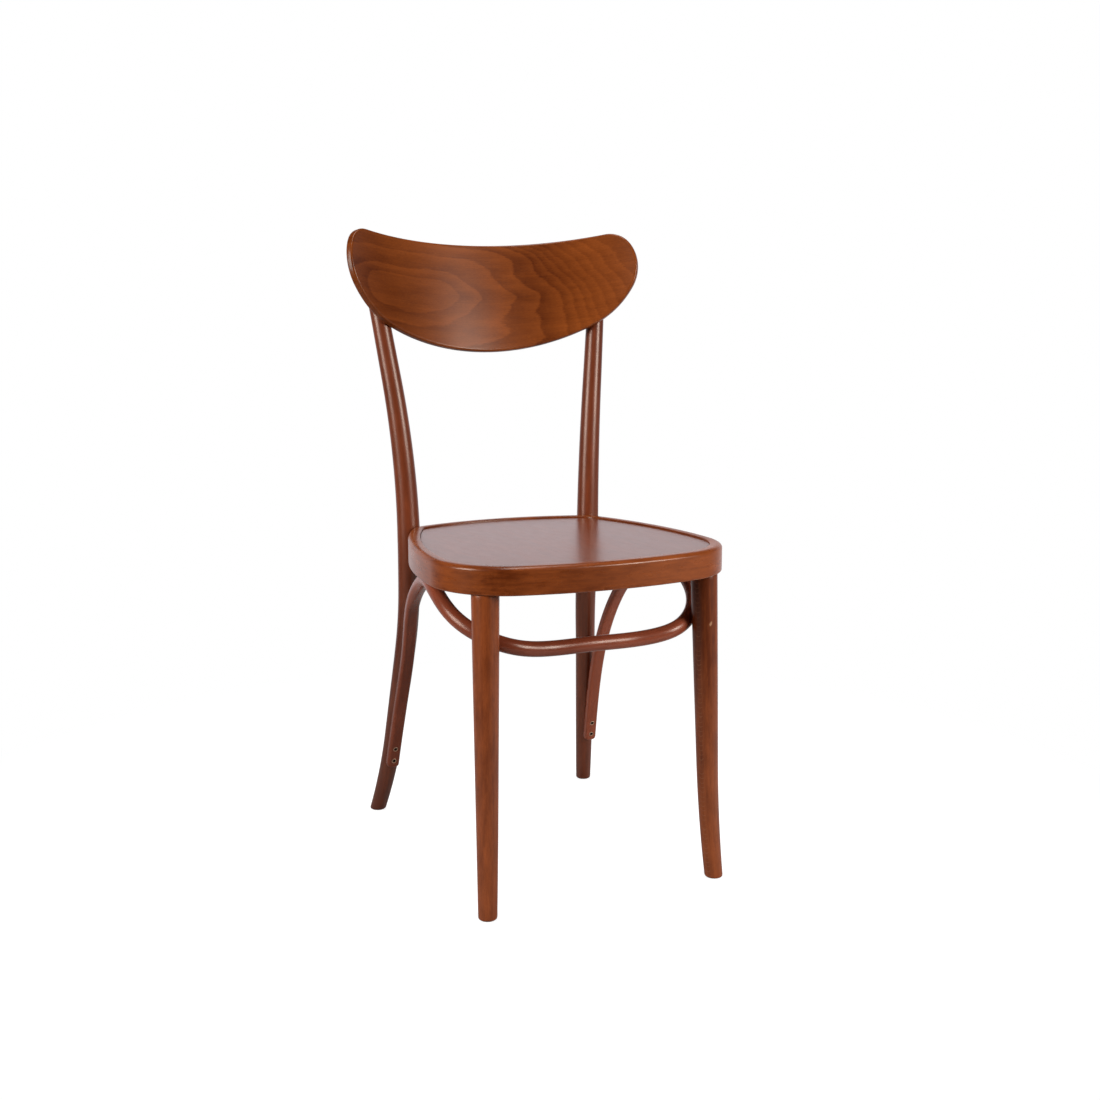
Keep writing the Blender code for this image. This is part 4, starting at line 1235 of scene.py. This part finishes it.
def close_seam(mesh, length):
    """Stores the blank's place on face corners, so that it doesn't run back across the joint."""
    corner = np.zeros(len(mesh.loops), np.int32)
    mesh.loops.foreach_get("vertex_index", corner)
    values = vectors(mesh.attributes["grain"].data, "vector")[corner]
    for face in mesh.polygons:
        rows = slice(face.loop_start, face.loop_start + face.loop_total)
        z = values[rows, 2]
        if z.max() - z.min() > length / 2:
            values[rows, 2] = np.where(z < length / 2, z + length, z)
    note_grain(mesh, values, "CORNER")


def screw_shape(length):
    # Radius, depth, and a value that runs from dirt and painted shade in the socket to wear and a
    # painted glint on the head's rim
    rows = (
        (SOCKET_RADIUS, SOCKET_DEPTH, 0),
        (SOCKET_RADIUS, 0.0006, 0),
        (SOCKET_RADIUS + 0.0001, 0.0004, 0.3),
        (SCREW_HEAD - 0.0012, 0.0003, 0.5),
        (SCREW_HEAD - 0.0008, 0.0001, 1),
        (SCREW_HEAD - 0.0003, 0, 1),
        (SCREW_HEAD, 0.0002, 1),
        (SCREW_HEAD, SCREW_RIM, 0.6),
        (SCREW_SHANK, SCREW_RIM + SCREW_CONE, 0.5),
        (SCREW_SHANK, length - SCREW_POINT, 0.5),
        (SCREW_TIP, length, 0.5),
    )
    profile, wear = [row[:2] for row in rows], [row[2] for row in rows]
    return turned("screw_shape", (0, 0, 0), UP, profile, 24, (0, 1), wear)


def screw_holes(kind, places, length):
    head, shank = SCREW_HEAD + GAP, SCREW_SHANK + GAP
    rows = [(head, -SCREW_ROOM), (head, SCREW_RIM), (shank, SCREW_RIM + SCREW_CONE)]
    rows.append((shank, length + DRILL_SPARE))
    return [turned(kind + "_screw_hole", point, way, rows) for point, way in places]


def both_sides(places):
    return [(mirrored(p, side), mirrored(d, side)) for side, _ in SIDES for p, d in places]


def strap_screw_places():
    places = [strap_point(z) for z in STRAP_SCREW_Z]
    return both_sides([(point - back * (STRAP_THICKNESS / 2), back) for point, back in places])


def front_screw_places():
    toward = -touch_direction()
    return both_sides([(front_touch() - toward * (ROD_RADIUS - SCREW_SUNK), toward)])


def arch_screw_places():
    x = edge_at_y(ARCH_TOP_Y) - ARCH_INSET
    z = RING_BOTTOM - GAP - 2 * ROD_RADIUS + ARCH_FLAT + SCREW_SUNK
    return both_sides([(Vector((x, ARCH_TOP_Y, z)), UP)])


def back_screw_places():
    """Heads on the posts' backs and the way into the shell, with the screw's length."""
    top, _, back = back_frame()
    places = []
    for z in BACK_SCREW_Z:
        post = Vector((*rear_leg_axis(z), z))
        x, sunk = post.x, (post - top).dot(back) + BACK_RADIUS
        angle = atan2(x, sunk)
        out = Vector((sin(angle), 0, 0)) + back * cos(angle)
        places.append((post + out * (rear_leg_radius(z) - SCREW_SUNK), -out))
    reach = x * sin(angle) + sunk * cos(angle) + rear_leg_radius(z)
    return both_sides(places), reach - BACK_RADIUS - BACK_THICKNESS + BACK_SCREW_BITE


def bolt_face(side):
    x, y = ring_place(REAR_LEG_HEADING, RING_WIDTH - SPOT_FACE_DEPTH)
    nx, ny = inward(REAR_LEG_HEADING)
    return Vector((side * x, y, RING_BOTTOM + BOLT_Z)), Vector((side * -nx, -ny, 0))


def ring_section():
    """The ring's outline, in from its outer face and up: outer side, rim, rebate, inner side."""
    rim = RIM_WIDTH - RIM_CREST
    wall = RING_DEPTH - RING_EDGE - RIM_DROP
    floor_z = SEAT_HEIGHT - PANEL_RECESS - PANEL_THICKNESS - GAP
    return (
        [(RING_EDGE * off, RING_BOTTOM + RING_EDGE * rise) for rise, off in quarter(8)]
        + [(0, RING_BOTTOM + RING_EDGE + wall * i / 8) for i in range(1, 8)]
        + [(rim * off, SEAT_HEIGHT - RIM_DROP * drop) for off, drop in quarter(20)]
        + [(RIM_WIDTH - back, SEAT_HEIGHT - down) for back, down in RIM_ARRIS]
        + [(RIM_WIDTH, floor_z), (RING_WIDTH, floor_z)]
        + [(RING_WIDTH - back, RING_BOTTOM + rise) for back, rise in RING_INNER_EDGE]
        + [(RING_EDGE * 2, RING_BOTTOM)]
    )


def make_seat(tree, finishes, arch_holes):
    path = ring_frame()
    centres = [p for p, _ in path]
    along = lengths(centres + centres[:1])
    spine = path_line(
        "ring_path", centres, [n for _, n in path], [UP] * len(path), along[:-1], closed=True
    )
    section = section_line("ring_section", ring_section())
    ring = carry("seat_frame", tree, spine, section, finishes["ring"], ends=False)
    clear(section)
    r = BOLT_SHANK + GAP
    rows = [(SPOT_FACE_RADIUS, -SPOT_FACE_ROOM), (SPOT_FACE_RADIUS, 0), (r, 0)]
    rows.append((r, BOLT_LENGTH + DRILL_SPARE))
    bolt_holes = [turned("bolt_hole_" + word, *bolt_face(side), rows) for side, word in SIDES]
    cut(ring, *arch_holes, *bolt_holes)
    close_seam(ring.data, along[-1])
    hold(ring, ["seat_ring"])

    inset = RIM_WIDTH + GAP
    top = SEAT_HEIGHT - PANEL_RECESS
    rows = [(inset, top - PANEL_THICKNESS)]
    rows += [(inset + PANEL_EDGE * off, top - PANEL_EDGE * drop) for off, drop in quarter(4)]
    rows.append((inset + PANEL_EDGE * 2, top))
    bm = bmesh.new()
    skin(bm, [outline(offset, z) for offset, z in rows])
    panel = from_bmesh("seat_board", bm)
    smooth(panel.data)
    note_grain(panel.data, vectors(panel.data.vertices, "co")[:, [0, 2, 1]])
    hold(panel, ["seat_panel"], finishes["panel"])
    return bolt_holes


def make_brace(tree, finishes, holes):
    section = brace_sections()
    rod = carry("bent_brace", tree, brace_line(), section, finishes["brace"])
    bm = bmesh.new()
    bmesh.ops.create_cube(bm, size=1)
    bmesh.ops.scale(bm, verts=bm.verts, vec=ARCH_CUTTER)
    middle = RING_BOTTOM - GAP + ARCH_CUTTER[2] / 2
    bmesh.ops.translate(bm, verts=bm.verts, vec=(0, ARCH_TOP_Y, middle))
    flat = from_bmesh("arch_flat", bm)
    cut(rod, flat, *holes)
    clear(section, flat)
    hold(rod, ["brace_hoop"])


def make_legs(tree, finishes, front_holes, rear_holes):
    section = round_section()
    bm = bmesh.new()
    skin(bm, [outline(-GAP, z) for z in (RING_BOTTOM - GAP, SEAT_HEIGHT + GAP)])
    ring_space = from_bmesh("ring_space", bm)
    shell_space = shell("shell_space", 0, GAP, 60, 2)
    strap_section = brace_sections(GAP)
    wood = finishes["rear"]
    strap_space = carry("strap_space", tree, brace_line(STRAP_SEAT_Z), strap_section, wood)
    for (side, word), front_hole, rear in zip(SIDES, front_holes, rear_holes):
        top = RING_BOTTOM - GAP
        path = leg_path(front_leg_axis, front_leg_radius, side, top, SHOULDER_EDGE, 3)
        shift = FRONT_BLANK_SHIFT * side
        leg = carry("turned_leg_" + word, tree, path, section, finishes["front"], shift)
        cut(leg, front_hole)
        hold(leg, ["front_leg_" + word])

        path = leg_path(rear_leg_axis, rear_leg_radius, side, POST_TOP_Z, POST_ROUNDING, 8)
        post = carry("bent_post_" + word, tree, path, section, wood, REAR_BLANK_SHIFT * side)
        cut(post, ring_space, shell_space, strap_space, *rear)
        hold(post, ["rear_leg_" + word])
        strap_space.data.transform(MIRROR_X)
        strap_space.data.flip_normals()
    clear(section, strap_section, ring_space, shell_space, strap_space)


def make_bolts(finish):
    bolts, washers = bmesh.new(), bmesh.new()
    far = -GAP - WASHER_THICKNESS
    under, r = far - GAP, BOLT_SHANK + GAP
    top = under - BOLT_HEAD_HEIGHT
    rows = [
        *[(BOLT_HEAD * share, top + down) for share, down in BOLT_CROWN],
        (BOLT_HEAD, under),
        (BOLT_SHANK, under),
        (BOLT_SHANK, BOLT_LENGTH - BOLT_POINT),
        (BOLT_SHANK - BOLT_POINT, BOLT_LENGTH),
    ]
    section = ((r, -GAP), (WASHER_RADIUS, -GAP), (WASHER_RADIUS, far), (r, far))
    for side, _ in SIDES:
        face, out = bolt_face(side)
        # The last values run from dirt and painted shade low to wear and a painted glint on the
        # crown's edge
        lathe(bolts, face, out, rows, 24, (2, 3), (0.5, 0.8, 1, 0.7, 0.4, 0.4, 0.4))
        across = out.cross(UP)
        turns = [across * cos(a) + UP * sin(a) for a in circle(FIT_SIDES)]
        rings = [[face + out * deep + turn * wide for turn in turns] for wide, deep in section]
        skin(washers, rings, closed=True, wear=(0.3, 0.6, 0.9, 0.3))
    groups = (("hex_bolts", bolts, "seat_bolt_"), ("washers", washers, "seat_bolt_washer_"))
    for name, bm, node in groups:
        obj = settle(from_bmesh(name, bm), METAL_ANGLE)
        hold(obj, [node + word for _, word in SIDES], finish)


def build():
    tree, setter = carrying_tree(), setting_tree()
    finishes = {
        "ring": stained_beech("ring_beech", (0.212, 0.046, 0.0085), gloss=0.25, mark=ring_marks),
        "panel": stained_beech("panel_beech", (0.165, 0.031, 0.0075), "panel", contrast=0.5),
        "front": stained_beech("front_leg_beech", (0.222, 0.048, 0.0108), mark=front_leg_marks),
        "rear": stained_beech(
            "post_beech", (0.15, 0.03, 0.009), contrast=0.7, mark=post_marks, level=0.68
        ),
        "back": stained_beech("back_beech", (0.166, 0.036, 0.0054), "veneer", 0.27, level=0.36),
        "brace": stained_beech(
            "brace_beech", (0.262, 0.059, 0.026), gloss=0.25, contrast=0.5, mark=post_marks
        ),
        "screw": plated_metal(
            "plated_screw", (0.14, 0.065, 0.04, 1), (0.62, 0.4, 0.27, 1),
            (0.045, 0.022, 0.014, 1), 0.42,
        ),
        "bolt": plated_metal(
            "zinc_bolt", (0.5, 0.5, 0.49, 1), (0.68, 0.68, 0.67, 1),
            (0.1, 0.09, 0.08, 1), 0.28,
        ),
    }

    # Each kind of screw: its places, its length, and its nodes' names before the side's word
    screws = {
        "strap": (strap_screw_places(), STRAP_SCREW_LENGTH, "strap_screw_lower strap_screw_upper"),
        "front": (front_screw_places(), FRONT_SCREW_LENGTH, "brace_front_screw"),
        "arch": (arch_screw_places(), ARCH_SCREW_LENGTH, "brace_arch_screw"),
        "back": (*back_screw_places(), "backrest_screw_lower backrest_screw_upper"),
    }
    holes = {kind: screw_holes(kind, *places[:2]) for kind, places in screws.items()}
    strap, front, arch, back = holes.values()

    bolt = make_seat(tree, finishes, arch)
    make_brace(tree, finishes, strap + front + arch)
    rear = (strap[:2] + back[:2] + bolt[:1], strap[2:] + back[2:] + bolt[1:])
    make_legs(tree, finishes, front, rear)
    veneer = shell("veneered_shell", BACK_EDGE)
    cut(veneer, *back)
    note_grain(veneer.data, flat_again(veneer.data))
    hold(veneer, ["backrest"], finishes["back"])
    clear(*strap, *front, *arch, *back, *bolt)

    for kind, (places, length, nodes) in screws.items():
        name, shape = kind + "_screws", screw_shape(length)
        obj = set_fasteners(name, setter, shape, places, finishes["screw"])
        hold(obj, [f"{node}_{word}" for _, word in SIDES for node in nodes.split()])
    make_bolts(finishes["bolt"])


build()
stage()
